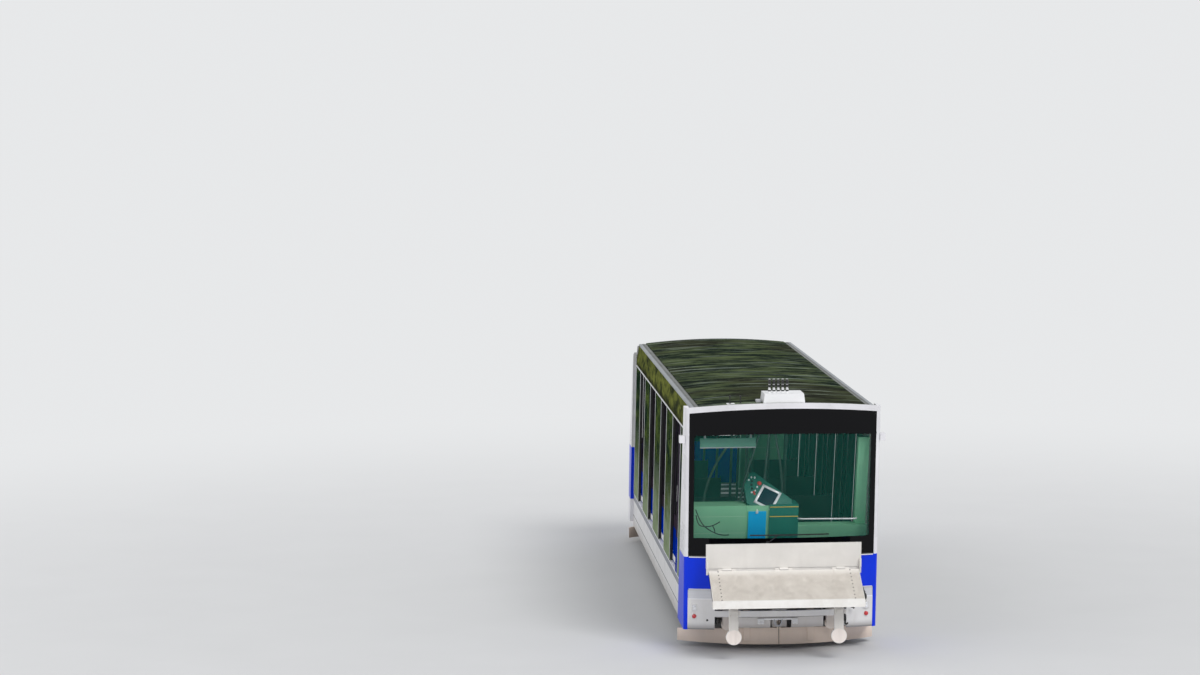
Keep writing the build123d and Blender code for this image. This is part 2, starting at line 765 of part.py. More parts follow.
# Aprons, bumpers, buffers, lamps and guards are alike at both ends
for end in ends:
    edge = frame_edges[end.name]
    with BuildPart() as apron:
        end_cheeks(end, corner_bottom, end.belt)
        end_band(end, apron_bottom, end.belt, cheek_inner, 0, apron_thickness)
    write(apron, end.name + "_apron")

    lamp_faces = {}
    for level in (red_lamp_level, white_lamp_level):
        lamp_faces[level] = face_y(end, level) + end.out * bow(lamp_half_spacing, 0)
    with BuildPart() as bumpers:
        end_band(end, corner_bottom, bumper_crease, cheek_inner, 0, bumper_thickness)
        end_band(end, bumper_crease, bumper_top, cheek_inner, bumper_step, bumper_thickness - bumper_step)
        for low, high in ((corner_bottom, centre_beam_bottom), (centre_beam_top, bumper_top)):
            block(-bumper_inner, bumper_inner, car_start, car_finish, low, high, mode=Mode.SUBTRACT)
        low_arcs = bumpers.edges().group_by(Axis.Z)[0].filter_by(GeomType.CIRCLE)
        chamfer(low_arcs.sort_by(SortBy.RADIUS)[-2:], bumper_low_chamfer)
        end_band(end, centre_panel_bottom, centre_beam_top, centre_panel_half_width, centre_panel_inset,
                 centre_panel_thickness)
        block(-rope_gap_half_width, rope_gap_half_width, car_start, car_finish, corner_bottom, rope_gap_top,
              mode=Mode.SUBTRACT)
        bracket_level = (beam_bottom + plate_bottom) / 2
        bracket_outer = beam_half_spacing + beam_width - bumper_bracket_inset
        bracket_front = face_y(end, bracket_level) + end.out * bow(bracket_outer, bumper_thickness / 2)
        for side in sides:
            block(side * (beam_half_spacing - bumper_bracket_overlap), side * bracket_outer,
                  min(edge, bracket_front), max(edge, bracket_front),
                  beam_bottom + bumper_bracket_inset, plate_bottom - bumper_bracket_inset)
            x = side * lamp_half_spacing
            for level, face in lamp_faces.items():
                seat = face - end.out * lamp_seat
                top = face + end.out * lamp_depth
                if level == red_lamp_level:
                    rod(x, level, seat, top, lamp_radius, mode=Mode.SUBTRACT)
                else:
                    block(x - lamp_half_width, x + lamp_half_width, min(seat, top), max(seat, top),
                          level - lamp_half_height, level + lamp_half_height, mode=Mode.SUBTRACT)
    write(bumpers, end.name + "_bumpers")

    with BuildPart() as buffers:
        head_front = face_y(end, corner_bottom) - end.out * buffer_setback
        bracket_back = edge - end.out * beam_width
        for side in sides:
            x = side * buffer_half_spacing
            rod(x, buffer_level, head_front, head_front - end.out * buffer_head_thickness, buffer_radius)
            rod(x, buffer_level, head_front, bracket_back, buffer_stem_radius)
            block(x - buffer_bracket_half_width, x + buffer_bracket_half_width, min(edge, bracket_back),
                  max(edge, bracket_back), buffer_level, beam_bottom)
    write(buffers, end.name + "_buffers")

    with BuildPart() as lamps:
        for side in sides:
            x = side * lamp_half_spacing
            for level, face in lamp_faces.items():
                seat = face - end.out * lamp_seat
                top = face + end.out * lamp_depth
                if level == red_lamp_level:
                    rod(x, level, seat, top, lamp_radius)
                else:
                    block(x - lamp_half_width, x + lamp_half_width, min(seat, top), max(seat, top),
                          level - lamp_half_height, level + lamp_half_height)
    write(lamps, end.name + "_lamps")

    with BuildPart() as guard:
        tip = face_y(end, corner_bottom) - end.out * guard_setback
        corner = tip - end.out * guard_nose
        guard_radius = (guard_half_width**2 + guard_nose**2) / (2 * guard_nose)
        with BuildSketch(Plane.XY.offset(guard_bottom)) as plan:
            with BuildLine():
                ThreePointArc((-guard_half_width, corner), (0, tip), (guard_half_width, corner))
                Line((guard_half_width, corner), (guard_half_width, corner - end.out * guard_thickness))
                ThreePointArc(
                    (guard_half_width, corner - end.out * guard_thickness),
                    (0, tip - end.out * guard_thickness),
                    (-guard_half_width, corner - end.out * guard_thickness),
                )
                Line((-guard_half_width, corner - end.out * guard_thickness), (-guard_half_width, corner))
            make_face()
        extrude(plan.sketch, amount=guard_edge_top + guard_crown - guard_bottom)
        arched(guard_arch, guard_half_width, -guard_edge_top, 0, car_start, car_finish, mode=Mode.INTERSECT)
        arm_back = edge - end.out * beam_width
        curve_depth = guard_radius - sqrt(guard_radius**2 - guard_arm_spacing**2)
        arm_front = tip - end.out * (curve_depth + guard_thickness / 2)
        hanger_front = arm_back - end.out * guard_arm_width
        for side in sides:
            inner = side * (guard_arm_spacing - guard_arm_width / 2)
            outer = side * (guard_arm_spacing + guard_arm_width / 2)
            block(inner, outer, min(arm_front, hanger_front), max(arm_front, hanger_front),
                  guard_arm_bottom, guard_arm_top)
            block(inner, outer, min(arm_back, hanger_front), max(arm_back, hanger_front),
                  guard_arm_bottom, plate_bottom)
    write(guard, end.name + "_guard")

# Goods tray: a board on the uphill face, and a deck that folds up about knuckles at the board's foot
board_back = face_y(uphill, board_bottom) - end_bulge - board_gap
board_front = board_back - board_thickness
hinge_y = board_front - hinge_forward


def raked(y, level):
    """Y at a level of a line that passes y at the board's foot and leans with the uphill face."""
    return y - (level - board_bottom) * tan(uphill.lower_lean)


with BuildPart() as tray_board:
    for side in sides:
        x = side * bracket_spacing
        slab(x - bracket_width / 2, x + bracket_width / 2, [
            (raked(board_back, bracket_bottom), bracket_bottom),
            (raked(board_back + bracket_depth, bracket_bottom), bracket_bottom),
            (raked(board_back + bracket_depth, bracket_top), bracket_top),
            (raked(board_back, bracket_top), bracket_top),
        ])
    end_band(uphill, corner_bottom, uphill_belt, cheek_inner, -bracket_depth, bracket_depth, mode=Mode.INTERSECT)
    slab(-board_half_width, board_half_width, [
        (board_back, board_bottom),
        (raked(board_back, board_top), board_top),
        (raked(board_front, board_top), board_top),
        (board_front, board_bottom),
    ])
    for x in (-hinge_spacing, 0, hinge_spacing):
        block(x - knuckle_length / 2, x + knuckle_length / 2, hinge_y, board_back, hinge_level, board_bottom)
        barrel(x - knuckle_length / 2, x + knuckle_length / 2, hinge_y, hinge_level, hinge_radius)
write(tray_board, "tray_board")


def down_deck(along, drop):
    """Point down the deck from the hinge, and below its top."""
    return (hinge_y - along * cos(deck_lean), hinge_level - along * sin(deck_lean) - drop)


def under_deck(y):
    """Point of the deck's underside at this Y."""
    return (y, hinge_level - (hinge_y - y) * tan(deck_lean) - deck_thickness)


deck_reach = deck_clearance + deck_depth
lip_y, lip_level = down_deck(deck_reach, 0)
with BuildPart() as tray_deck:
    slab(-deck_half_width, deck_half_width, [
        down_deck(deck_clearance, 0),
        down_deck(deck_reach, 0),
        down_deck(deck_reach, deck_thickness),
        down_deck(deck_clearance, deck_thickness),
    ])
    block(-deck_half_width, deck_half_width, lip_y - lip_thickness, lip_y, lip_level - lip_height, lip_level)
    for x in (-hinge_spacing, 0, hinge_spacing):
        for side in sides:
            near = x + side * (knuckle_length / 2 + knuckle_gap)
            far = near + side * knuckle_length / 2
            barrel(near, far, hinge_y, hinge_level, hinge_radius)
            slab(near, far, [
                down_deck(0, 0),
                down_deck(deck_clearance + hinge_radius, 0),
                down_deck(deck_clearance + hinge_radius, hinge_radius),
                down_deck(0, hinge_radius),
            ])
write(tray_deck, "tray_deck")

disc_front = lip_y + disc_setback
arm_front = disc_front + disc_thickness - disc_overlap
arm_back = arm_front + arm_depth
groove_back = arm_front + arm_groove_depth
with BuildPart() as tray_arms:
    for side in sides:
        x = side * arm_spacing
        slab(x - arm_width / 2, x + arm_width / 2,
             [(arm_front, disc_level), (arm_back, disc_level), under_deck(arm_back), under_deck(arm_front)])
        slab(x - arm_groove_width / 2, x + arm_groove_width / 2, [
            (arm_front, disc_level + disc_radius),
            (groove_back, disc_level + disc_radius),
            under_deck(groove_back),
            under_deck(arm_front),
        ], mode=Mode.SUBTRACT)
        rod(x, disc_level, disc_front, disc_front + disc_thickness, disc_radius)
write(tray_arms, "tray_arms")

# Control desks and linings, with their feet cut to the steps
Cupboard = namedtuple("Cupboard", "x_from x_to start depth top")


def cupboards(rows):
    for row in rows:
        slab(row.x_from, row.x_to, plumb(row.start, row.start + row.depth, floor_base, row.top))
    slab(-end_half_width, end_half_width, floor_profile, mode=Mode.SUBTRACT)
    for side in sides:
        slab(side * floor_half_width, side * end_half_width,
             plumb(0, side_length, plate_level, sill_top), mode=Mode.SUBTRACT)


with BuildPart() as uphill_console:
    cupboards((
        Cupboard(-console_outer, -console_inner, console_station, console_depth, console_top),
        Cupboard(-blue_box_outer, -blue_box_inner, console_station, blue_box_depth, blue_box_top),
    ))
write(uphill_console, "uphill_console")

with BuildPart() as uphill_lining:
    cupboards((
        Cupboard(locker_left, locker_right, console_station, console_depth, locker_top),
        Cupboard(locker_right, console_outer, console_station, ledge_depth, ledge_top),
        Cupboard(pillar_inner, console_outer, pillar_station, pillar_depth, pillar_top),
    ))
write(uphill_lining, "uphill_lining")

with BuildPart() as downhill_console:
    cupboards((
        Cupboard(console_inner, console_outer, rear_console_station, console_depth, rear_console_top),
    ))
write(downhill_console, "downhill_console")

# Seats face downhill, each on the second tread past a door
seat_treads = [floor_origin + (index + 2) * door_pitch - 2 * step_pitch for index in range(door_count - 1)]
seat_top = seat_height + cushion_thickness
with BuildPart() as seats:
    for start in seat_treads:
        for side in sides:
            near = side * seat_inner
            far = side * seat_outer
            slab(near + side * pedestal_inset, far - side * pedestal_inset,
                 level_box(start, pedestal_inset, pedestal_inset + pedestal_length, 0, seat_height))
            slab(near, far, level_box(start, seat_start, seat_start + seat_depth, seat_height, seat_top))
            slab(near, far, level_box(start, seat_start, seat_start + seat_back_thickness,
                                      seat_top, seat_top + seat_back_height))
write(seats, "seats")

# Grab poles stand on a tread in each doorway and end in two rails under the roof bars
pole_rail_level = arch_level(roof_arch, pole_half_spacing) - roof_bar_depth - pole_rail_radius - pole_rail_gap
with BuildPart() as grab_poles:
    for side in sides:
        x = side * pole_half_spacing
        rod(x, pole_rail_level, roof_start + pole_rail_setback, roof_finish - pole_rail_setback, pole_rail_radius)
        for index in range(door_count):
            foot_y, foot_level = on_tread(floor_origin + (index + 1) * door_pitch, pole_place, 0)
            pole_plane = Plane(origin=(x, foot_y, foot_level), x_dir=(1, 0, 0), z_dir=(0, -sin(slope), cos(slope)))
            with BuildSketch(pole_plane) as pole_foot:
                Circle(pole_radius)
            extrude(pole_foot.sketch, amount=(pole_rail_level - foot_level) / cos(slope))
write(grab_poles, "grab_poles")

# Bogies with their rail brakes and wheelsets
frame_outer = side_frame_inner + side_frame_width
for bogie_name, station in zip(("uphill", "downhill"), bogie_stations):
    middle = station_zero + station
    axle_places = (("front", middle - wheelbase / 2), ("rear", middle + wheelbase / 2))
    with BuildPart() as bogie:
        for side in sides:
            inner = side * side_frame_inner
            outer = side * frame_outer
            block(inner, outer, middle - wheelbase / 2, middle + wheelbase / 2, side_frame_bottom, side_frame_top)
            for axle_name, axle_y in axle_places:
                block(inner, outer, axle_y - axlebox_half_size, axle_y + axlebox_half_size,
                      axle_level - axlebox_half_size, side_frame_top)
        block(-side_frame_inner, side_frame_inner, middle - transom_half_length, middle + transom_half_length,
              transom_bottom, transom_top)
        with Locations((0, middle, transom_top)):
            Cylinder(pivot_radius, pivot_top - transom_top, align=(Align.CENTER, Align.CENTER, Align.MIN))
        for axle_name, axle_y in axle_places:
            barrel(-frame_outer, frame_outer, axle_y, axle_level, journal_radius + journal_clearance,
                   mode=Mode.SUBTRACT)
    write(bogie, bogie_name + "_bogie_frame")

    with BuildPart() as rail_brakes:
        for side in sides:
            x = side * rail_line
            block(x - brake_half_width, x + brake_half_width, middle - brake_half_length,
                  middle + brake_half_length, brake_bottom, brake_top)
            block(x - brake_slot_half_width, x + brake_slot_half_width, middle - brake_half_length,
                  middle + brake_half_length, brake_bottom, brake_slot_top, mode=Mode.SUBTRACT)
            block(x - brake_hanger_half_width, x + brake_hanger_half_width, middle - brake_hanger_half_length,
                  middle + brake_hanger_half_length, brake_top, transom_bottom)
    write(rail_brakes, bogie_name + "_rail_brakes")

    for axle_name, axle_y in axle_places:
        stem = bogie_name + "_" + axle_name
        axle_line = Axis((0, axle_y, axle_level), (1, 0, 0))
        reach = frame_outer - journal_end_gap
        shoulder = side_frame_inner - journal_shoulder
        with BuildPart() as axle:
            with BuildSketch(Plane.XY.offset(axle_level)) as half:
                with BuildLine():
                    Polyline(
                        (-reach, axle_y),
                        (-reach, axle_y + journal_radius),
                        (-shoulder, axle_y + journal_radius),
                        (-shoulder, axle_y + axle_radius),
                        (shoulder, axle_y + axle_radius),
                        (shoulder, axle_y + journal_radius),
                        (reach, axle_y + journal_radius),
                        (reach, axle_y),
                        close=True,
                    )
                make_face()
            revolve(half.sketch, axis=axle_line)
        write(axle, stem + "_axle")

        flange_radius = tread_radius + flange_height
        tread_start = -rail_line - flanged_tread_width / 2
        tread_finish = tread_start + flanged_tread_width
        roller_start = rail_line - roller_width / 2
        with BuildPart() as wheels:
            with BuildSketch(Plane.XY.offset(axle_level)) as half:
                with BuildLine():
                    Polyline(
                        (tread_start - flange_width, axle_y + axle_radius),
                        (tread_start - flange_width, axle_y + flange_radius),
                        (tread_start, axle_y + flange_radius),
                        (tread_start, axle_y + tread_radius),
                        (tread_finish, axle_y + tread_radius),
                        (tread_finish, axle_y + flange_radius),
                        (tread_finish + flange_width, axle_y + flange_radius),
                        (tread_finish + flange_width, axle_y + axle_radius),
                        close=True,
                    )
                make_face()
                with BuildLine():
                    Polyline(
                        (roller_start, axle_y + axle_radius),
                        (roller_start, axle_y + tread_radius),
                        (roller_start + roller_width, axle_y + tread_radius),
                        (roller_start + roller_width, axle_y + axle_radius),
                        close=True,
                    )
                make_face()
                for dish_start in (tread_start - flange_width, roller_start + roller_width - wheel_dish):
                    with Locations((dish_start + wheel_dish / 2, axle_y + (hub_radius + tread_radius - wheel_rim) / 2)):
                        Rectangle(wheel_dish, tread_radius - wheel_rim - hub_radius, mode=Mode.SUBTRACT)
            revolve(half.sketch, axis=axle_line)
        write(wheels, stem + "_wheels")
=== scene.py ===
# %% [markdown]
# A stepped funicular car. The packed CAD model gives the body, doors, bogies and goods tray in metres:
# X across the car, Y down the slope, Z square to the rails. The cabin's posts are plumb on the slope, so
# here they lean 20 degrees towards -Y. This script adds the small parts and gives every surface its finish.

# %% Load the model
import bmesh
import bpy
from math import cos, pi, radians, sin, sqrt, tan
from mathutils import Matrix, Vector


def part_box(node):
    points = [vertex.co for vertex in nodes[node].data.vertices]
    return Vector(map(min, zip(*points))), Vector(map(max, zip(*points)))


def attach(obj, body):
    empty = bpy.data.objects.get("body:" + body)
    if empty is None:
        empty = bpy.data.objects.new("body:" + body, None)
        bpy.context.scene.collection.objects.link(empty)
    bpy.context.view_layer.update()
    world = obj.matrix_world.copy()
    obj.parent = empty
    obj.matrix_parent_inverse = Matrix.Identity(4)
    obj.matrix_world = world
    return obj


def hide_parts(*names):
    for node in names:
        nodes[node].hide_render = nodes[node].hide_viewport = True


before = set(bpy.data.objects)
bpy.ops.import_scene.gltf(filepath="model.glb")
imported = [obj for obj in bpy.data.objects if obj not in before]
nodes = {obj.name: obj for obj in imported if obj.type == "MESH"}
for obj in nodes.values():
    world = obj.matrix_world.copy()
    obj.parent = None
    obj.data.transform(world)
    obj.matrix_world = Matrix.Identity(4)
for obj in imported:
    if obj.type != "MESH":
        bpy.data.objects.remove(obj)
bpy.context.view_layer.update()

# %% [markdown]
# Most small parts sit on one of two curved ends or along the leaning sides. Typed in one by one, they would
# stay behind when the CAD changes, so the places that they share are worked out once from the boxes of the
# CAD nodes. Both ends are arcs of one radius. The uphill one leans 9 degrees outwards, and the downhill one
# falls back 16 degrees below its belt and 31 above. Stations count down the slope along the cabin.

# %% Shared places
slope = radians(20)
end_radius, uphill_lean, low_rake, high_rake = 4.875, radians(9), radians(16), radians(31)
apron_bottom, hinge_inset = 0.811, 0.012
station_start, station_level = -4.10833, 1.8
uphill_nose, uphill_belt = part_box("uphill_apron")[0][1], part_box("uphill_apron")[1][2]
downhill_nose, downhill_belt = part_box("downhill_apron")[1][1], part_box("downhill_apron")[1][2]
gutter_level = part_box("cantrails")[0][2]
deck_low, deck_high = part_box("tray_deck")
hinge_y, hinge_level = deck_high[1] - hinge_inset, deck_high[2] - hinge_inset
sides = {"left": -1, "right": 1}


def uphill_face(x, z, proud=0.0):
    """Y of the uphill end's outside at x and z, or of a surface proud of it."""
    return uphill_nose + end_radius - sqrt((end_radius + proud)**2 - x * x) - (z - uphill_belt) * tan(uphill_lean)


def downhill_face(x, z, proud=0.0):
    """Y of the downhill end's outside at x and z, or of a surface proud of it."""
    low_part = (min(z, downhill_belt) - apron_bottom) * tan(low_rake)
    high_part = max(z - downhill_belt, 0) * tan(high_rake)
    return downhill_nose - low_part - high_part + sqrt((end_radius + proud)**2 - x * x) - end_radius


def post_line(level, station=0.0):
    """Y at a level, on a line that leans with the posts."""
    return station_start + station - (level - station_level) * tan(slope)


print("noses", round(uphill_nose, 3), round(downhill_nose, 3), "belts", uphill_belt, downhill_belt,
      "gutter", gutter_level, "hinge", round(hinge_y, 3), round(hinge_level, 3))

# %% [markdown]
# The camera stands uphill of the car and looks down the track. It could be aimed by hand, but its place came
# from the vanishing points of the car's edges, so it is set from an eye point and three angles.

# %% Camera
eye = Vector((-4.669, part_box("uphill_windscreen")[0][1] - 39.665, 7.534))
yaw, pitch, roll = radians(3.50), radians(5.10), radians(-0.41)
forward = Vector((sin(yaw) * cos(pitch), cos(yaw) * cos(pitch), -sin(pitch)))
level_right = Vector((cos(yaw), -sin(yaw), 0))
level_up = level_right.cross(forward)
right = level_right * cos(roll) + level_up * sin(roll)
up = level_up * cos(roll) - level_right * sin(roll)
camera = bpy.data.objects.new("camera", bpy.data.cameras.new("camera"))
camera.data.sensor_width = 36
camera.data.lens = 99
camera.data.clip_end = 900
camera.matrix_world = Matrix.Translation(eye) @ Matrix((right, up, -forward)).transposed().to_4x4()
bpy.context.scene.collection.objects.link(camera)
bpy.context.scene.camera = camera
bpy.context.scene.view_settings.view_transform = "Standard"
print("eye", [round(value, 3) for value in eye])

# %% [markdown]
# Shader arithmetic reads best as arithmetic. Math nodes could be added one by one, but a formula would then
# take a page. So a small class wraps one socket of a node tree, and its operators add the Math nodes.


# %% Arithmetic on sockets
class Wire:
    """One output socket. Arithmetic on it adds Math nodes."""

    def __init__(self, finish, socket):
        self.finish, self.socket = finish, socket

    def math(self, operation, *others):
        return self.finish.node("Math", {"operation": operation}, dict(enumerate((self, *others))))

    def __add__(self, other):
        return self.math("ADD", other)

    def __sub__(self, other):
        return self.math("SUBTRACT", other)

    def __rsub__(self, other):
        return self.finish.node("Math", {"operation": "SUBTRACT"}, {0: other, 1: self})

    def __mul__(self, other):
        return self.math("MULTIPLY", other)

    def __truediv__(self, other):
        return self.math("DIVIDE", other)

    def __gt__(self, other):
        return self.math("GREATER_THAN", other)

    def __lt__(self, other):
        return self.math("LESS_THAN", other)

    def __abs__(self):
        return self.math("ABSOLUTE")

    __radd__, __rmul__ = __add__, __mul__

    def between(self, low, high):
        """1 between the two values and 0 elsewhere."""
        return (self > low) * (self < high)

    def reach(self, other):
        """The length of the way that goes this far along one axis and other along the next."""
        return (self * self + other * other).math("SQRT")

    def smooth(self, low, high, start=0.0, finish=1.0):
        """Goes smoothly from start at low to finish at high."""
        return self.finish.node("MapRange", {"interpolation_type": "SMOOTHSTEP"},
                                {"Value": self, "From Min": low, "From Max": high, "To Min": start, "To Max": finish})


print("operators", [name for name in vars(Wire) if name.startswith("__r") or name in ("__add__", "__mul__")])

# %% [markdown]
# Every other node comes from one method, which sets the node's own settings first and then fills or links
# its sockets. A finish is a node tree that starts from the object's own coordinates, so a pattern stays on
# its piece. Coats of colour go over each other in turn, each with the share of the surface that it covers.


# %% Node trees and finishes
class Nodes:
    """A node tree under construction."""

    def __init__(self, owner):
        owner.use_nodes = True
        self.tree = owner.node_tree
        self.tree.nodes.clear()

    def node(self, kind, settings=None, inputs=None, out=0):
        made = self.tree.nodes.new("ShaderNode" + kind)
        for key, value in (settings or {}).items():
            setattr(made, key, value)
        for key, value in (inputs or {}).items():
            if isinstance(value, Wire):
                self.tree.links.new(value.socket, made.inputs[key])
            else:
                made.inputs[key].default_value = value
        return Wire(self, made.outputs[out] if made.outputs else None)


class Finish(Nodes):
    """A material whose patterns lie on the object's own coordinates."""

    def __init__(self, name):
        self.material = bpy.data.materials.new(name)
        super().__init__(self.material)
        self.coordinates = self.node("TexCoord", out="Object")
        self.x, self.y, self.z = (self.node("SeparateXYZ", inputs={0: self.coordinates}, out=axis) for axis in "XYZ")

    def noise(self, scale, detail=3.0, stretch=(1, 1, 1), roughness=0.55):
        spread = self.node("Mapping", inputs={"Vector": self.coordinates, "Scale": stretch})
        return self.node("TexNoise", {}, {"Vector": spread, "Scale": scale, "Detail": detail, "Roughness": roughness})

    def mix(self, share, first, second):
        colours = [(*shade, 1) if isinstance(shade, tuple) else shade for shade in (first, second)]
        return self.node("Mix", {"data_type": "RGBA"}, {0: share, 6: colours[0], 7: colours[1]}, out=2)

    def coated(self, shade, *coats):
        """A shade under coats, each of them a share and a colour."""
        for share, colour in coats:
            shade = self.mix(share, shade, colour)
        return shade

    def bump(self, height, depth):
        return self.node("Bump", {}, {"Height": height, "Distance": depth, "Strength": 1.0})

    def show(self, shader):
        self.node("OutputMaterial", {}, {"Surface": shader})
        return self.material

    def shader(self, base, rough, normal=None, **more):
        inputs = {"Base Color": (*base, 1) if isinstance(base, tuple) else base, "Roughness": rough}
        if normal is not None:
            inputs["Normal"] = normal
        inputs.update({key.replace("_", " "): value for key, value in more.items()})
        return self.node("BsdfPrincipled", {}, inputs)

    def surface(self, *values, **more):
        return self.show(self.shader(*values, **more))

    def glazed(self, shade, rough, cover=1.0, clear=1.0, normal=None, **more):
        """A glossy skin with its cover along the surface and its clear cover seen square on."""
        gloss = self.shader(shade, rough, normal, Alpha=clear, **more)
        flat = self.shader(shade, 1.0, Alpha=cover, Specular_IOR_Level=0.0)
        along = self.node("LayerWeight", {}, {"Blend": 0.5}, out="Facing").smooth(0.45, 0.85)
        return self.show(self.node("MixShader", {}, {0: along, 1: gloss, 2: flat}))


print("finish methods", [name for name in vars(Finish) if not name.startswith("_")])

# %% [markdown]
# Painted panels on a working railway are never one flat colour. A plain shader would look like plastic, so
# each paint gets three things: a slow mottling of its colour, a film of road dust that thickens towards the
# rails, and a fine orange peel in the bump, with roughness that follows the dust.

# %% Paint with dust on it
dust_shade, peel_depth = (0.42, 0.38, 0.33), 0.00012


def paint(name, colour, rough, dust=0.0, dust_top=1.2, bands=lambda finish: [], **more):
    """A paint of one colour, under the coats that bands lays over it."""
    finish = Finish(name)
    mottle = finish.noise(2.3, 4).smooth(0.3, 0.75)
    streaks = finish.noise(9, 5, stretch=(1, 1, 0.12)).smooth(0.45, 0.8)
    film = streaks * finish.z.smooth(0.2, dust_top, 1.0, 0.18) * dust
    base = finish.mix(mottle, tuple(channel * 0.88 for channel in colour), colour)
    shade = finish.coated(base, *bands(finish))
    height = finish.noise(420, 2) + finish.noise(60, 2) * 0.6
    return finish.surface(finish.mix(film, shade, dust_shade), film * 0.5 + mottle * 0.06 + rough,
                          finish.bump(height, peel_depth), **more)


print("dust", dust_shade, "over a peel of", peel_depth, "m")

# %% [markdown]
# Some CAD nodes carry more than one colour. They could be cut up, but the nodes keep their meshes, so a
# coat is laid wherever a level or a distance from the car's middle says so.

# %% Coats that follow the shape
crease, lamp_change, sill_foot, seam_half = 0.69, 0.51, 0.655, 0.004
hole_x, hole_level, hole_radius = -0.91, 0.417, 0.014
arm_line, disc_level, disc_radius, arm_near = 0.645, 0.312, 0.088, -5.09
# The colour of the painted highlight on bright edges.
painted_highlight = (0.90, 0.90, 0.93)


def lamp_colours(finish):
    """White lamps over the red ones of the same node."""
    return [(finish.z > lamp_change, (0.82, 0.83, 0.86))]


def bumper_bands(finish):
    """Grey with faint lines, a painted highlight on the crease, painted shade at foot and beam, a dark hole on one
    side.
    """
    above = finish.z > crease
    lines = ((finish.z * 55).math("FRACT") < 0.16) * above
    middle = (abs(finish.x) < 0.57) * (finish.z < 0.66)
    hole = (finish.x - hole_x).reach(finish.z - hole_level) < hole_radius
    # Painted shade darkens the foot and the beam below the deck; the pale band on the crease is a painted highlight.
    return [(finish.z.smooth(0.29, 0.40, 0.75, 0.0), (0.20, 0.19, 0.19)), (above * 0.5, (0.60, 0.62, 0.70)),
            (lines * 0.35, (0.30, 0.31, 0.36)), (finish.z.between(crease - 0.006, crease + 0.003), painted_highlight),
            (middle * (finish.z < 0.46) * 0.35, (0.50, 0.44, 0.40)),
            (middle * finish.z.between(0.452, 0.461), (0.04, 0.035, 0.035)), (hole, (0.01, 0.01, 0.01))]


def guard_bands(finish):
    """Darker towards its foot, with the joint of its two halves in the middle."""
    return [(finish.z.smooth(0.06, 0.24, 0.5, 0.0), (0.40, 0.33, 0.28)),
            (abs(finish.x) < seam_half, (0.05, 0.045, 0.04))]


def cheek_foot(finish):
    """White below the sill on the downhill cheeks."""
    return [((finish.z < sill_foot) * (finish.y > 0), (0.80, 0.80, 0.84))]


def rubber_faces(finish):
    """Pale rubber on the round ends of the tray's arms."""
    disc = (abs(finish.x) - arm_line).reach(finish.z - disc_level) < disc_radius
    return [(disc * (finish.y < arm_near), (0.84, 0.76, 0.71))]


def sill_bands(finish):
    """A painted highlight on the top edge, painted shade in the recess under it, and a dark joint over the skirt."""
    # The grey band is painted shade in the recess, and the pale band on top a painted highlight.
    return [(finish.z.smooth(0.24, 0.44, 0.5, 0.0), (0.46, 0.42, 0.38)),
            (finish.z.between(0.648, 0.725), (0.26, 0.27, 0.31)), (finish.z > 0.725, painted_highlight),
            (finish.z.between(0.642, 0.648), (0.06, 0.06, 0.07)),
            (finish.z.between(0.394, 0.406), (0.03, 0.03, 0.035))]


def dark_inside(finish):
    """Dark gasket on the part of a strip that lies behind the glass."""
    return [(abs(finish.x) < 1.1497, (0.02, 0.03, 0.028))]


def rail_groove(finish):
    """The dark groove and dark inner flange that leave a narrow bright rail on the roof's edge."""
    inner = (abs(finish.x) < 1.084) * (finish.z > 3.06)
    return [(inner, (0.03, 0.035, 0.03)), (inner * (abs(finish.x) < 1.056), (0.10, 0.11, 0.10))]


print("crease at", crease, "lamps change at", lamp_change, "cheeks at", sill_foot)

# %% [markdown]
# The paints themselves differ only in colour, gloss and dust, so each is one line. The cabin's colours are
# greener than they would be in the hand, because they are seen through tinted glass, and paler, as painted
# light that stands in for the light coming in through the windscreen.

# %% Paints
frame_white = paint("frame_white", (0.82, 0.81, 0.84), 0.26, dust=0.12, Coat_Weight=0.2)
cobalt = paint("cobalt_paint", (0.0, 0.036, 0.78), 0.30, dust=0.03, bands=cheek_foot, Coat_Weight=0.05,
               Specular_IOR_Level=0.2)
bumper_silver = paint("bumper_silver", (0.84, 0.83, 0.83), 0.36, dust=0.2, bands=bumper_bands, Metallic=0.1)
guard_silver = paint("guard_silver", (0.92, 0.77, 0.66), 0.42, dust=0.1, dust_top=0.4, bands=guard_bands)
tray_white = paint("tray_white", (0.82, 0.79, 0.75), 0.42, dust=0.30, dust_top=1.6, bands=rubber_faces)
buffer_pale = paint("buffer_pale", (0.86, 0.78, 0.72), 0.5, dust=0.2)
chassis_grey = paint("chassis_grey", (0.055, 0.055, 0.06), 0.55, dust=0.55)
box_white = paint("box_white", (0.86, 0.86, 0.87), 0.4, dust=0.08)
fixture_grey = paint("fixture_grey", (0.42, 0.43, 0.46), 0.4, dust=0.1)
trim_black = paint("trim_black", (0.012, 0.012, 0.014), 0.35, dust=0.2)
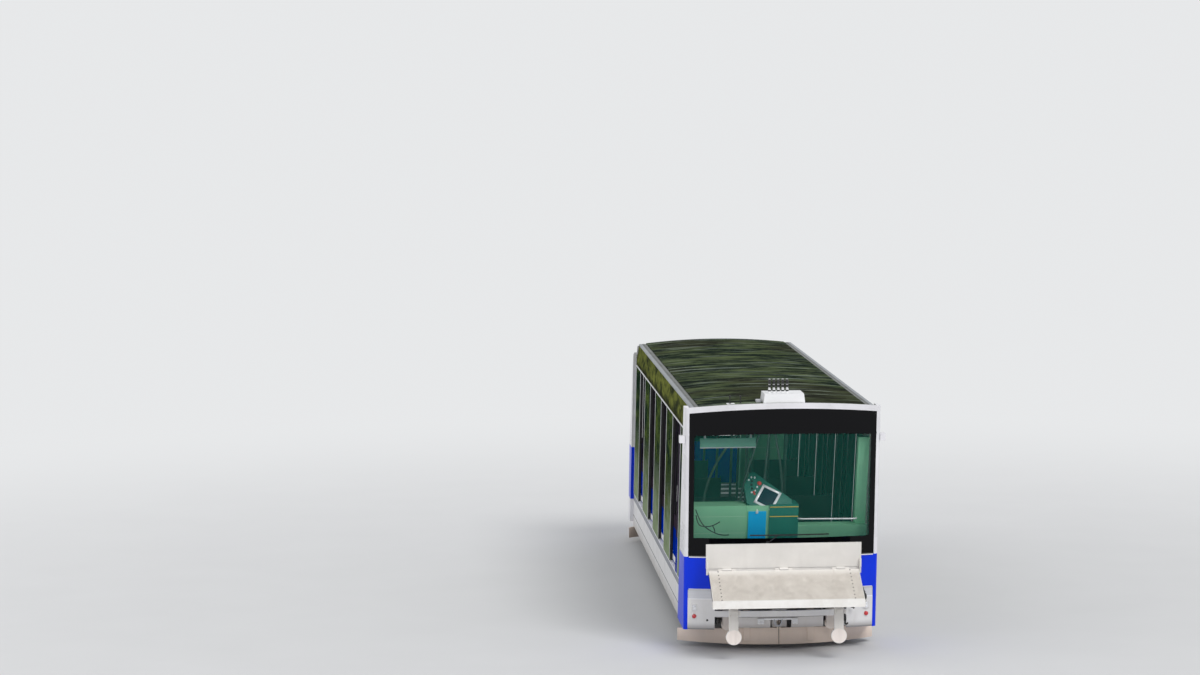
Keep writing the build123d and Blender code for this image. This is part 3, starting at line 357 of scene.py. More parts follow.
# The cabin's pale greens are lightened as painted light from the windscreen.
cabin_pale = paint("cabin_pale", (0.28, 0.64, 0.38), 0.5)
locker_green = paint("locker_green", (0.020, 0.16, 0.12), 0.5)
sign_green = paint("sign_green", (0.13, 0.33, 0.25), 0.4)
shell_grey = paint("shell_grey", (0.10, 0.115, 0.12), 0.5)
lamp_lens = paint("lamp_lens", (0.62, 0.02, 0.03), 0.12, dust=0.06, bands=lamp_colours, Coat_Weight=0.8)
lamp_white = paint("lamp_white", (0.86, 0.87, 0.90), 0.12, dust=0.05, Coat_Weight=0.8)
screen_face = paint("screen_face", (0.010, 0.022, 0.045), 0.45, Specular_IOR_Level=0.1)
button_red = paint("button_red", (0.65, 0.02, 0.02), 0.3)
line_yellow = paint("line_yellow", (0.75, 0.50, 0.05), 0.5)
rubber = paint("rubber", (0.018, 0.018, 0.019), 0.62, dust=0.25)
print(len(bpy.data.materials), "materials with the paints")

# %% [markdown]
# Bare metal shows the direction it was worked in. Rails and skirts are drawn along the car, so their grain
# is a noise stretched along Y, in the roughness and in a very shallow bump. A picture of brushed metal would
# show its seams on an eight metre rail.

# %% Metals
even = (1, 1, 1)


def metal(name, colour, rough, grain=(1, 0.02, 1), wear=0.12, bands=lambda finish: [], **more):
    """A worked metal with stains, under the coats that bands lays over it."""
    finish = Finish(name)
    lines = finish.noise(180, 2, stretch=grain)
    stain = finish.noise(5, 5).smooth(0.4, 0.8)
    base = finish.mix(stain * wear, colour, tuple(channel * 0.45 for channel in colour))
    shade = finish.coated(base, *bands(finish))
    return finish.surface(shade, lines * 0.14 + stain * wear + rough, finish.bump(lines, 0.00015), **more)


rail_silver = metal("rail_silver", (0.25, 0.27, 0.29), 0.34, bands=rail_groove, Metallic=0.4)
sill_silver = metal("sill_silver", (0.80, 0.79, 0.79), 0.40, wear=0.2, bands=sill_bands, Metallic=0.15)
edge_silver = metal("edge_silver", (0.80, 0.80, 0.83), 0.34, Metallic=0.3)
bay_edge = metal("bay_edge", (0.80, 0.80, 0.83), 0.34, bands=dark_inside, Metallic=0.3)
pole_steel = metal("pole_steel", (0.17, 0.21, 0.20), 0.34, grain=(1, 1, 0.05), Metallic=0.3)
wheel_steel = metal("wheel_steel", (0.34, 0.31, 0.29), 0.34, grain=even, wear=0.7, Metallic=1.0)
anchor_steel = metal("anchor_steel", (0.30, 0.29, 0.29), 0.42, grain=even, wear=0.6, Metallic=1.0)
print(len(bpy.data.materials), "materials with the metals")

# %% [markdown]
# The door leaves are near black above and cobalt in their lower third, a cobalt darker than the body's as
# painted shade, and the change is one straight line along the car. Two materials would need the leaves cut
# in two, so one material with a step in Z serves all four sets.

# %% Door leaves
leaf_panel_top = 1.22
finish = Finish("door_leaf")
cloud = finish.noise(3, 4).smooth(0.3, 0.8)
# The lower cobalt is darker than the body's paint: painted shade.
shade = finish.mix(finish.z < leaf_panel_top, finish.mix(cloud, (0.030, 0.022, 0.034), (0.048, 0.036, 0.054)),
                   finish.mix(cloud, (0.0, 0.016, 0.24), (0.0, 0.030, 0.42)))
door_leaf = finish.glazed(shade, cloud * 0.08 + 0.26, normal=finish.bump(finish.noise(300, 2), 0.0001),
                          Coat_Weight=0.2, Specular_IOR_Level=0.3)
print("leaves change colour at", leaf_panel_top)

# %% [markdown]
# Tinted glass is dark seen from outside because little light comes back through it. Real refraction would be
# slow and grainy, so the glass is made as a thin dark skin that lets part of the cabin show, with a faint
# uneven green painted on it as the hillside's reflection.

# %% Tinted glass
roof_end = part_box("roof_glass")[1][1]


def painted_pale_reflection(finish, cloud):
    """A painted pale reflection towards the sill, with an uneven edge."""
    return [((finish.z + cloud * 0.5).smooth(0.9, 2.1, 0.85, 0.0), (0.36, 0.44, 0.28))]


def roof_reflections_and_strip(finish, cloud):
    """Painted reflections as dark patches and pale streaks across the car, and the grey strip at the downhill edge."""
    return [(finish.noise(0.5, 2).smooth(0.46, 0.60, 0.0, 0.6), (0.034, 0.032, 0.022)),
            (finish.noise(3, 4, stretch=(0.35, 4, 1)).smooth(0.56, 0.68, 0.0, 0.55), (0.34, 0.40, 0.34)),
            (finish.y > roof_end - 0.10, (0.30, 0.31, 0.33))]


def tinted(name, dark, light, alpha, stretch, scale=1.6, share=(0.42, 0.68), bands=lambda finish, cloud: [],
           clear=1.0, rough=0.06, coat=0.3, shine=0.12):
    """Dark glass mottled with a lighter painted reflection; clear gives how much more of the cabin shows square on."""
    finish = Finish(name)
    cloud = finish.noise(scale, 6, stretch=stretch, roughness=0.7).smooth(*share)
    fine = finish.noise(scale * 5, 4, stretch=stretch, roughness=0.7).smooth(0.5, 0.75)
    # The lighter shade, laid where cloud is high, is a painted reflection.
    shade = finish.coated(finish.mix(cloud * 0.75 + fine * 0.25, dark, light), *bands(finish, cloud))
    return finish.glazed(shade, rough, alpha, alpha * clear, Coat_Weight=coat, Specular_IOR_Level=shine)


side_glass = tinted("side_glass", (0.010, 0.028, 0.018), (0.12, 0.17, 0.04), 0.82, (1, 0.9, 1.6), scale=2.4,
                    bands=painted_pale_reflection, clear=0.62)
leaf_glass = tinted("leaf_glass", (0.010, 0.012, 0.014), (0.030, 0.036, 0.030), 0.80, (1, 1, 2))
roof_glass = tinted("roof_glass", (0.014, 0.022, 0.018), (0.13, 0.165, 0.075), 0.92, (0.6, 1.5, 1), scale=2.6,
                    share=(0.42, 0.64), bands=roof_reflections_and_strip, rough=0.3, coat=0.0, shine=0.08)
visor_glass = tinted("visor_glass", (0.010, 0.020, 0.014), (0.03, 0.05, 0.025), 0.85, (1, 3, 1))
print("roof glass ends at", round(roof_end, 3))

# %% [markdown]
# A windscreen is glued down behind a printed black border. The border could be a piece of its own, but print
# has no thickness, so it is a cover of the same skin, straight below and at the sides and arched above.


# %% Windscreens
def windscreen(name, low, high, half, rise):
    """Clear glass with black print below low, above an arched high and beyond half across."""
    finish = Finish(name)
    arch = finish.x * finish.x * (-rise / 1.15**2) + high
    border = ((abs(finish.x) > half) + (finish.z < low) + (finish.z > arch)).smooth(0.2, 0.6)
    haze = finish.noise(1.1, 3).smooth(0.3, 0.8)
    shade = finish.mix(border, finish.mix(haze, (0.02, 0.17, 0.13), (0.03, 0.24, 0.18)), (0.002, 0.002, 0.003))
    return finish.surface(shade, 0.05, Alpha=border * 0.90 + 0.10, Coat_Weight=0.1, Specular_IOR_Level=0.12)


uphill_glass = windscreen("uphill_glass", 1.462, 2.775, 1.085, 0.03)
downhill_glass = windscreen("downhill_glass", 1.57, 2.62, 1.075, 0.0)
print("windscreens", uphill_glass.name, downhill_glass.name)

# %% [markdown]
# The cantrail is a glossy dark fascia over the windows that shows the hillside as blurred green. A mirror
# would show the studio instead, so a slow noise drawn out along the car gives that uneven green.

# %% Fascia over the windows
finish = Finish("fascia")
green = finish.noise(2.2, 6, stretch=(1, 1.2, 3), roughness=0.7).smooth(0.36, 0.66)
low_edge = finish.z.smooth(gutter_level + 0.02, gutter_level + 0.09, 1.0, 0.0)
shade = finish.mix(green, (0.035, 0.042, 0.022), (0.19, 0.21, 0.05))
fascia = finish.glazed(finish.mix(low_edge * 0.7, shade, (0.02, 0.022, 0.016)), green * 0.1 + 0.16,
                       normal=finish.bump(finish.noise(30, 2), 0.0002), Coat_Weight=0.2, Specular_IOR_Level=0.2)
print("fascia is dark up to", round(gutter_level + 0.09, 3))

# %% [markdown]
# The tray's deck is a walked-on plate: beige with ground-in dirt, rows of holes near both sides, and small
# raised bars set in alternate directions. Thousands of modelled bars would be heavy and too small to see,
# so they are a bump made from the plate's own two directions. The lip past its far edge has white paint.

# %% Deck plate
deck_slope = radians(28.5)
bar_pitch, hole_pitch, hole_row, deck_length = 0.034, 0.07, 0.811, 0.606
finish = Finish("deck_plate")
along = (hinge_y - finish.y) * cos(deck_slope) + (hinge_level - finish.z) * sin(deck_slope)
u, v = finish.x / bar_pitch, along / bar_pitch
fall, climb = (abs(way.math("FRACT") - 0.5) for way in (u + v, u - v))
odd = ((u * 0.5).math("FLOOR") + (v * 0.5).math("FLOOR")).math("PINGPONG", 1)
on_deck = along < deck_length
bars = ((fall + climb * 0.25) * odd + (climb + fall * 0.25) * (1 - odd)).smooth(0.10, 0.22, 1.0, 0.0) * on_deck
across = abs(abs(finish.x) - hole_row)
step = abs((along / hole_pitch).math("FRACT") - 0.5) * hole_pitch
dirt = finish.noise(6, 8, roughness=0.7).smooth(0.35, 0.75)
runs = finish.noise(14, 4, stretch=(1, 0.15, 1)).smooth(0.5, 0.8)
worn = (abs(finish.x + 0.14) < 0.016) + (abs(finish.x - 0.61) < 0.012)
shade = finish.coated(finish.mix(dirt, (0.63, 0.58, 0.52), (0.50, 0.45, 0.40)), (runs * 0.35, (0.82, 0.78, 0.72)),
                      (bars * 0.25, (0.82, 0.78, 0.72)),
                      (1 - on_deck, finish.mix(dirt, (0.88, 0.86, 0.83), (0.78, 0.75, 0.71))),
                      (along.smooth(0.01, 0.16, 0.75, 0.0), (0.84, 0.81, 0.77)),
                      (worn * runs * 0.55 * on_deck, (0.34, 0.27, 0.20)),
                      ((across.reach(step) < 0.009) * on_deck, (0.05, 0.04, 0.035)))
deck_plate = finish.surface(shade, dirt * 0.2 + 0.42, finish.bump(bars + dirt * 0.2, 0.0014))
print("deck is", deck_length, "long with holes every", hole_pitch)

# %% [markdown]
# Inside there is ribbed rubber flooring and blue seat cloth. Ribs and threads are too fine to model, so the
# ribs are a sawtooth and the weave two crossed waves, both in the bump.

# %% Floor and cloth
rib_pitch, thread = 0.012, 0.0022
finish = Finish("floor_rubber")
specks = finish.noise(260, 1).smooth(0.62, 0.68)
ribs = (finish.x / rib_pitch).math("FRACT").math("PINGPONG", 0.5)
floor_rubber = finish.surface(finish.mix(specks, (0.10, 0.115, 0.12), (0.30, 0.33, 0.33)), 0.62,
                              finish.bump(ribs, 0.0012))
finish = Finish("seat_cloth")
weave = (finish.x / thread).math("SINE") * (finish.y / thread).math("SINE")
flecks = finish.noise(70, 3).smooth(0.5, 0.62)
seat_cloth = finish.surface(finish.mix(flecks, (0.01, 0.045, 0.22), (0.03, 0.15, 0.42)), 0.86,
                            finish.bump(weave, 0.0006), Sheen_Weight=0.35)
print("ribs every", rib_pitch, "and threads every", thread)

# %% [markdown]
# The driver's desks are pale green with a narrow blue box between them. The lining's locker is dark green,
# and the low ledge and the corner pillar beside it are paler. Each is one moulding, so the colours change
# by place.


# %% Desks and lining
def blue_box(finish):
    """Two pale seams on the desks, and the blue box that interrupts them."""
    seams = finish.z.between(1.697, 1.703) + finish.z.between(1.478, 1.484)
    return [(seams * 0.6, (0.55, 0.78, 0.62)), (finish.x.between(-0.392, -0.168), (0.0, 0.50, 1.0))]


def dark_locker(finish):
    """The locker beside the ledge."""
    return [(finish.x.between(-0.130, 0.232), (0.020, 0.20, 0.15))]


def moulding(name, dark, light, bands):
    """A grained panel between two shades, under the coats that bands lays over it."""
    finish = Finish(name)
    base = finish.mix(finish.noise(2.0, 3).smooth(0.3, 0.8), dark, light)
    return finish.surface(finish.coated(base, *bands(finish)), 0.5, finish.bump(finish.noise(90, 2), 0.0003))


# Their pale greens are lightened as painted light from the windscreen.
desk_fronts = moulding("desk_fronts", (0.24, 0.58, 0.34), (0.30, 0.66, 0.40), blue_box)
lining = moulding("lining", (0.24, 0.58, 0.35), (0.30, 0.66, 0.41), dark_locker)
print(len(bpy.data.materials), "materials in all")

# %% [markdown]
# The CAD nodes keep their meshes. A list of all nodes would be long and would miss a new one, so each gets
# its finish by a word in its name, and the first word that fits wins.

# %% Finishes of the CAD nodes
finishes = [
    ("leaf_glass", leaf_glass), ("leaves", door_leaf), ("uphill_windscreen", uphill_glass),
    ("downhill_windscreen", downhill_glass), ("side_windows", side_glass), ("roof_glass", roof_glass),
    ("visor_glass", visor_glass), ("visor", frame_white), ("blank_panels", door_leaf), ("cantrails", fascia),
    ("roof_frame", rail_silver), ("roof_box", box_white), ("end_frame", frame_white), ("apron", cobalt),
    ("bumpers", bumper_silver), ("guard", guard_silver), ("buffers", buffer_pale), ("lamps", lamp_lens),
    ("sills", sill_silver), ("skirts", sill_silver), ("door_posts", trim_black), ("underframe", chassis_grey),
    ("haul_rope_anchor", bumper_silver), ("anchor", anchor_steel), ("stepped_floor", floor_rubber),
    ("tray_deck", deck_plate), ("tray", tray_white), ("bogie_frame", chassis_grey), ("rail_brakes", anchor_steel),
    ("axle", wheel_steel), ("wheels", wheel_steel), ("uphill_lining", lining), ("console", desk_fronts),
    ("seats", seat_cloth), ("poles", pole_steel),
]
for name, node in nodes.items():
    finish_for_node = next(finish for word, finish in finishes if word in name)
    node.data.materials.clear()
    node.data.materials.append(finish_for_node)
print(len(nodes), "nodes have their finish")

# %% [markdown]
# Each finished part rides on a named body. A piece's edges are smoothed where they meet at less than 38
# degrees, which keeps bevels soft and corners crisp.

# %% Finishing a piece
crisp_angle = radians(38)


def ride_as(made, body):
    """Puts a piece in the scene on its body."""
    bpy.context.scene.collection.objects.link(made)
    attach(made, body)


def keep(name, mesh, finish, body="car"):
    """Turns a bmesh into a finished piece on a body."""
    bmesh.ops.remove_doubles(mesh, verts=mesh.verts, dist=0.00002)
    bmesh.ops.recalc_face_normals(mesh, faces=mesh.faces)
    data = bpy.data.meshes.new(name)
    mesh.to_mesh(data)
    mesh.free()
    data.shade_smooth()
    data.set_sharp_from_angle(angle=crisp_angle)
    data.materials.append(finish)
    made = bpy.data.objects.new(name, data)
    ride_as(made, body)
    print(name, "has", len(data.polygons), "faces and rides on", body)
    return made


# %% [markdown]
# The small parts are built with a few operators instead of lists of corners. A block is a cube with rounded
# edges, a turned part is an outline spun about an axis, and a bolt is a turned head on a washer. Parts along
# the sides are written upright, and one matrix makes them lean with the posts.


# %% Blocks and turned parts
def block(mesh, low, high, round_by=0.003, place=Matrix(), segments=2):
    """A cube between two opposite corners with rounded edges, put in place by a matrix."""
    size = [abs(far - near) for near, far in zip(low, high)]
    middle = [(near + far) / 2 for near, far in zip(low, high)]
    cube = bmesh.ops.create_cube(mesh, size=1, matrix=place @ Matrix.Translation(middle) @ Matrix.Diagonal((*size, 1)))
    edges = list({edge for corner in cube["verts"] for edge in corner.link_edges})
    bmesh.ops.bevel(mesh, geom=edges, offset=round_by, segments=segments, affect="EDGES", profile=0.5, material=-1)


def turned(mesh, centre, axis, outline, steps=32):
    """An outline of (distance along the axis, radius) pairs, spun a full turn."""
    place = Matrix.Translation(centre) @ Vector(axis).to_track_quat("Z", "Y").to_matrix().to_4x4()
    corners = [mesh.verts.new(place @ Vector((radius, 0, distance))) for distance, radius in outline]
    edges = [mesh.edges.new(pair) for pair in zip(corners, corners[1:])]
    bmesh.ops.spin(mesh, geom=corners + edges, cent=centre, axis=axis, angle=2 * pi, steps=steps, use_merge=True)


def bolt(mesh, place, axis, radius=0.006):
    """A domed bolt head on a washer."""
    turned(mesh, place, axis, [(0, radius * 1.5), (0.002, radius * 1.5), (0.002, radius), (0.007, radius * 0.9),
                               (0.009, radius * 0.5), (0.0095, 0)], steps=12)


def four_bars(mesh, left, foot, right, top, width, depths, round_by, shorter=0.0, place=Matrix()):
    """Bars just inside a rectangle, of which the upright ones may be shorter at both ends."""
    for bar_left, bar_foot, bar_right, bar_top in (
            (left, foot + shorter, left + width, top - shorter), (right - width, foot + shorter, right, top - shorter),
            (left, top - width, right, top), (left, foot, right, foot + width)):
        block(mesh, (bar_left, depths[0], bar_foot), (bar_right, depths[1], bar_top), round_by, place)


def block_piece(name, finish, *boxes, body="car"):
    """A piece of blocks, each given by what block takes."""
    mesh = bmesh.new()
    for box in boxes:
        block(mesh, *box)
    return keep(name, mesh, finish, body)


leaning = Matrix.Identity(4)
leaning[1][2] = -tan(slope)
leaning[1][3] = post_line(0)
print("posts lean", round(tan(slope), 4), "per metre")

# %% [markdown]
# Trim on the curved ends can't be straight. A band is a grid that is bent onto an end and thickened. A round
# bar could be a chain of cylinders, but a curve with a bevel bends smoothly and has no joints to close.


# %% Bands and bars
def on_end(mesh, face, across, rise, proud, columns=24):
    """A band bent onto an end, between two places across, two levels and two heights above the surface."""
    base = bmesh.ops.create_grid(mesh, x_segments=columns, y_segments=1, size=1)["verts"]
    skin = list({patch for corner in base for patch in corner.link_faces})
    lifted = bmesh.ops.extrude_face_region(mesh, geom=skin)["geom"]
    lifted = [part for part in lifted if isinstance(part, bmesh.types.BMVert)]
    for corners, height in ((base, proud[0]), (lifted, proud[1])):
        for corner in corners:
            x = across[0] + (across[1] - across[0]) * (corner.co.x + 1) / 2
            z = rise[0] + (rise[1] - rise[0]) * (corner.co.y + 1) / 2
            corner.co = (x, face(x, z, height), z)


def bar(name, y, points, radius, finish):
    """A round bar bent in one smooth line through points of (x, z), or of (x, distance from y, z)."""
    curve = bpy.data.curves.new(name, "CURVE")
    curve.dimensions = "3D"
    curve.bevel_depth = radius
    curve.bevel_resolution = 4
    curve.use_fill_caps = True
    spline = curve.splines.new("NURBS")
    spline.points.add(len(points) - 1)
    for knot, (x, *back, z) in zip(spline.points, points):
        knot.co = (x, y + sum(back), z, 1)
    spline.order_u = 3
    spline.use_endpoint_u = True
    curve.materials.append(finish)
    ride_as(bpy.data.objects.new(name, curve), "car")
    print(name, "is bent through", len(points), "points")


ends = {"uphill": (uphill_face, uphill_belt, -1), "downhill": (downhill_face, downhill_belt, 1)}
print("ends", list(ends))

# %% [markdown]
# Both ends have thin trim that draws their lines: a white lip along the top of the blue apron, one along its
# foot, and a black rubber under the windscreen. Straight bars would leave the curved panels, so each is a
# band on the end's own arc.

# %% Trim lines on both ends
for end, (face, belt, _) in ends.items():
    lip, seal = bmesh.new(), bmesh.new()
    on_end(lip, face, (-1.14, 1.14), (belt - 0.010, belt + 0.004), (-0.002, 0.006))
    on_end(lip, face, (-1.14, 1.14), (apron_bottom - 0.004, apron_bottom + 0.008), (-0.002, 0.005))
    on_end(seal, face, (-1.145, 1.145), (belt + 0.004, belt + 0.020), (-0.008, 0.003))
    keep(end + "_apron_lip", lip, frame_white)
    keep(end + "_screen_seal", seal, rubber)

# %% [markdown]
# Each bumper block carries a red lamp and a white one above it. The lenses are slightly domed and held by a
# rim. A dome cut from a sphere would need trimming, so it is an outline of four points spun about the lamp's
# axis, and the rim a small ring round it.

# %% Lamp lenses and rims
lamp_line, red_level, white_level, twin_gap = 1.07, 0.468, 0.580, 0.017
rim_outline = [(0, 0.0262), (0.008, 0.0262), (0.0095, 0.0285), (0.006, 0.0325), (0, 0.034)]
for end, (face, _, out) in ends.items():
    lenses, rims = bmesh.new(), bmesh.new()
    for side in sides.values():
        x = side * lamp_line
        for level, radius in ((red_level, 0.023), (white_level - twin_gap, 0.0135), (white_level + twin_gap, 0.0135)):
            turned(lenses, (x, face(x, level) + out * 0.0115, level), (0, out, 0),
                   [(0, radius), (0.003, radius * 0.9), (0.006, radius * 0.6), (0.0075, 0)], steps=24)
        turned(rims, (x, face(x, red_level) - out * 0.001, red_level), (0, out, 0), rim_outline)
        y = face(x, white_level)
        four_bars(rims, x - 0.029, 0.539, x + 0.029, 0.621, 0.0065, (y - out * 0.004, y + out * 0.016), 0.0015, 0.001)
    keep(end + "_lamp_lenses", lenses, lamp_lens)
    keep(end + "_lamp_rims", rims, bumper_silver)

# %% [markdown]
# A wiper lies across the foot of each windscreen. Its pivot is a small turned boss in the black print, the
# arm a bent bar, and the blade a band with a spine above the rubber, because a straight blade would cut
# into the curved glass.

# %% Wipers
for end, pivot, elbow, blade in (("uphill", (-0.182, 1.410), (-0.061, 1.498), (-0.404, 0.573)),
                                 ("downhill", (0.150, 1.540), (0.040, 1.640), (-0.500, 0.480))):
    face, _, out = ends[end]
    level = elbow[1] + 0.008
    middle = [(near + far) / 2 for near, far in zip(pivot, elbow)]
    boss, wiper = bmesh.new(), bmesh.new()
    turned(boss, (pivot[0], face(*pivot, -0.008), pivot[1]), (0, out, 0),
           [(0, 0.022), (0.020, 0.022), (0.026, 0.016), (0.032, 0.012), (0.034, 0)])
    on_end(boss, face, (elbow[0] - 0.05, elbow[0] + 0.05), (level - 0.006, level + 0.010), (0.016, 0.030), columns=6)
    keep(end + "_wiper_pivot", boss, trim_black)
    knees = ((pivot, 0.018), (middle, 0.034), ((elbow[0], level), 0.024))
    bar(end + "_wiper_arm", 0, [(x, face(x, z, height), z) for (x, z), height in knees], 0.007, trim_black)
    for half_rise, proud in ((0.005, (0.002, 0.014)), (0.008, (0.014, 0.019))):
        on_end(wiper, face, blade, (level - half_rise, level + half_rise), proud)
    keep(end + "_wiper_blade", wiper, rubber)

# %% [markdown]
# The goods tray folds on hinges. Its upright board has thin side flanges that reach below the fold, the
# deck's lip has a bracket at each end, each arm carries a bolted plate under the lip, and a thin angle runs
# along both edges of the deck. They are thin plates, so rounded blocks are enough, and each rides on the
# half of the tray that it is bolted to.

# %% Tray fittings
board_y, board_edge, angle_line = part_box("tray_board")[0][1], 0.9425, 0.9215
arm_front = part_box("tray_arms")[0][1] + 0.015
lip_y, lip_level = deck_low[1], deck_low[2] + 0.096
flanges, brackets, arm_plates = bmesh.new(), bmesh.new(), bmesh.new()
for side in sides.values():
    x = side * board_edge
    block(flanges, (x - 0.011, board_y + 0.018, hinge_level - 0.060), (x + 0.011, board_y + 0.054, hinge_level + 0.022))
    block(flanges, (x - 0.011, board_y - 0.010, hinge_level + 0.016), (x + 0.011, board_y + 0.030, hinge_level + 0.120))
    block(brackets, (side * (deck_high[0] - 0.001), lip_y + 0.004, lip_level - 0.088),
          (side * (deck_high[0] + 0.005), lip_y + 0.050, lip_level - 0.006), 0.002)
    for level in (lip_level - 0.028, lip_level - 0.066):
        bolt(brackets, (side * (deck_high[0] + 0.004), lip_y + 0.030, level), (side, 0, 0))
    x = side * arm_line
    block(arm_plates, (x - 0.058, arm_front - 0.010, 0.385), (x + 0.058, arm_front + 0.001, 0.655))
    block(arm_plates, (x - 0.030, arm_front - 0.022, 0.600), (x + 0.052, arm_front - 0.008, 0.640))
    for turn in (-1, 1):
        bolt(arm_plates, (x + turn * 0.045, arm_front - 0.009, 0.575), (0, -1, 0))
    block(arm_plates, (x + 0.064, arm_front - 0.014, 0.580), (x + 0.084, arm_front + 0.020, 0.640))
block(flanges, (-0.935, hinge_y + 0.030, hinge_level - 0.060), (0.935, hinge_y + 0.037, hinge_level + 0.024), 0.002)
keep("board_flanges", flanges, tray_white)
keep("lip_brackets", brackets, tray_white, "tray")
keep("arm_plates", arm_plates, tray_white, "tray")
deck_turn = Matrix.Translation((0, hinge_y, hinge_level)) @ Matrix.Rotation(deck_slope, 4, "X")
block_piece("deck_edge_angles", tray_white, *(
    ((side * angle_line - 0.0035, -deck_length, -0.040), (side * angle_line + 0.0035, -0.030, 0.006), 0.0015, deck_turn)
    for side in sides.values()), body="tray")

# %% [markdown]
# Under the centre beam a light bar crosses the rope's way in, with a small bracket at each end of it and a
# shackle hung in its middle. The shackle is one bent bar, as the real one is forged from a round rod.

# %% Centre brackets and shackle
brackets = bmesh.new()
for middle in (-0.250, 0.170):
    front = uphill_face(middle, 0.40, -0.028)
    block(brackets, (middle - 0.040, front - 0.034, 0.372), (middle + 0.040, front + 0.004, 0.440))
    for x in (middle - 0.020, middle + 0.020):
        turned(brackets, (x, front - 0.032, 0.386), (0, -1, 0),
               [(0, 0.008), (0.030, 0.008), (0.032, 0.012), (0.038, 0.012), (0.040, 0)], steps=16)
        bolt(brackets, (x, front - 0.033, 0.424), (0, -1, 0))
front = uphill_face(-0.04, 0.44, 0.004)
block(brackets, (-0.215, front - 0.010, 0.424), (0.135, front + 0.012, 0.444))
keep("centre_brackets", brackets, box_white)
bar("shackle", front, [(-0.088, -0.004, 0.430), (-0.086, -0.012, 0.385), (-0.060, -0.016, 0.352),
                       (-0.020, -0.016, 0.352), (0.006, -0.012, 0.385), (0.008, -0.004, 0.430)], 0.009, fixture_grey)

# %% [markdown]
# Each rail guard is made in two halves. A flat cover strip with six small bolts lies over their joint,
# drawn as a block because the guard is nearly flat in its middle.

# %% Guard strips
strip_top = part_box("uphill_guard")[1][2] - 0.012
for end, y in (("uphill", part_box("uphill_guard")[0][1]), ("downhill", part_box("downhill_guard")[1][1])):
    out = ends[end][2]
    strip = bmesh.new()
    block(strip, (-0.022, y - out * 0.004, 0.072), (0.022, y + out * 0.003, strip_top), 0.0015)
    for level in (0.095, 0.165, 0.235):
        for x in (-0.014, 0.014):
            bolt(strip, (x, y + out * 0.002, level), (0, out, 0), 0.004)
    keep(end + "_guard_strip", strip, guard_silver)

# %% [markdown]
# Right of the tray's right arm a short hooked rod hangs in front of the bumper with a small eye beside it,
# and a bent catch in two pieces sits beside the deck's end. All are bent from round rod, so each is a curve
# through a few points.

# %% Hook and catch beside the tray
rod_y, catch_y = uphill_face(0.80, 0.5, 0.05) - 0.03, uphill_face(1.03, 0.72, 0.03) - 0.01
for name, points in (("rod", ((0.792, 0.575), (0.800, 0.540), (0.786, 0.49), (0.800, 0.43), (0.790, 0.37),
                              (0.812, 0.345), (0.828, 0.370))),
                     ("link", ((0.776, 0.560), (0.770, 0.50), (0.782, 0.45), (0.774, 0.40))),
                     ("eye", ((0.866, 0.566), (0.892, 0.570), (0.908, 0.548)))):
    bar("hook_" + name, rod_y, [(x, 0.3 * abs(z - 0.46), z) for x, z in points], 0.011, trim_black)
for name, points in (("upper", ((0.985, 0.840), (1.010, 0.815), (1.024, 0.765), (1.040, 0.742))),
                     ("lower", ((1.012, 0.760), (1.046, 0.730), (1.058, 0.685), (1.040, 0.650), (1.052, 0.628)))):
    bar("deck_catch_" + name, catch_y, points, 0.014, trim_black)

# %% [markdown]
# On the roof, each short aerial has a pale stem with black and white collars low down and a black tip. The
# collars are sleeves on the stem, so one outline with a height and a radius serves for most of them.

# %% Aerials
aerial_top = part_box("roof_box")[1][2]
aerial_foot = aerial_top - 0.170
aerial_y = uphill_face(0, 3.1) + 0.030 + 0.380 / 3
stem, tip = 0.0132, [(0, 0.0133), (0, 0.0150), (0.048, 0.0150), (0.056, 0.011), (0.0595, 0)]


def sleeve(radius, height):
    """The outline of a ring that sits tight on a stem."""
    return [(0, stem), (0, radius), (height, radius), (height, stem)]


tips, collars = bmesh.new(), bmesh.new()
for index in range(5):
    x = -0.060 + (index - 2) * 0.054
    for mesh, level, outline in (
            (tips, aerial_top - 0.060, tip), (tips, aerial_foot + 0.020, sleeve(0.0175, 0.018)),
            (collars, aerial_foot, [(0, 0.024), (0.006, 0.024), (0.009, 0.018), (0.020, 0.018), (0.020, stem)]),
            (collars, aerial_foot + 0.038, sleeve(0.0175, 0.014)), (tips, aerial_foot + 0.070, sleeve(0.0150, 0.030))):
        turned(mesh, (x, aerial_y, level), (0, 0, 1), outline, steps=20)
keep("aerial_tips", tips, trim_black)
keep("aerial_collars", collars, box_white)

# %% [markdown]
# Left of the white box there are a small white plate with two pins and a narrow grey cover. From far off
# only their outline counts, so they are blocks and turned pins sunk into the roof.

# %% Roof plate and cover
plate_y = uphill_face(-0.55, 3.12) + 0.12
block_piece("roof_plate", box_white, ((-0.690, plate_y, 3.080), (-0.480, plate_y + 0.110, 3.142), 0.004))
pins = bmesh.new()
for x in (-0.650, -0.520):
    turned(pins, (x, plate_y + 0.050, 3.140), (0, 0, 1),
           [(0, 0.014), (0.012, 0.014), (0.014, 0.007), (0.080, 0.007), (0.084, 0.011), (0.096, 0.011), (0.098, 0)], 16)
keep("roof_pins", pins, trim_black)
block_piece("roof_cover", fixture_grey, ((-0.330, plate_y, 3.08), (-0.268, plate_y + 0.14, 3.185), 0.006))

# %% [markdown]
# The side's narrow lines carry much of its look from uphill: a thin bright gutter under the fascia and pale
# metal edges on each window bay. All lean with the posts. Working out each leaning corner would be tedious,
# so the blocks are written upright in station and level, and a shear puts them in place.

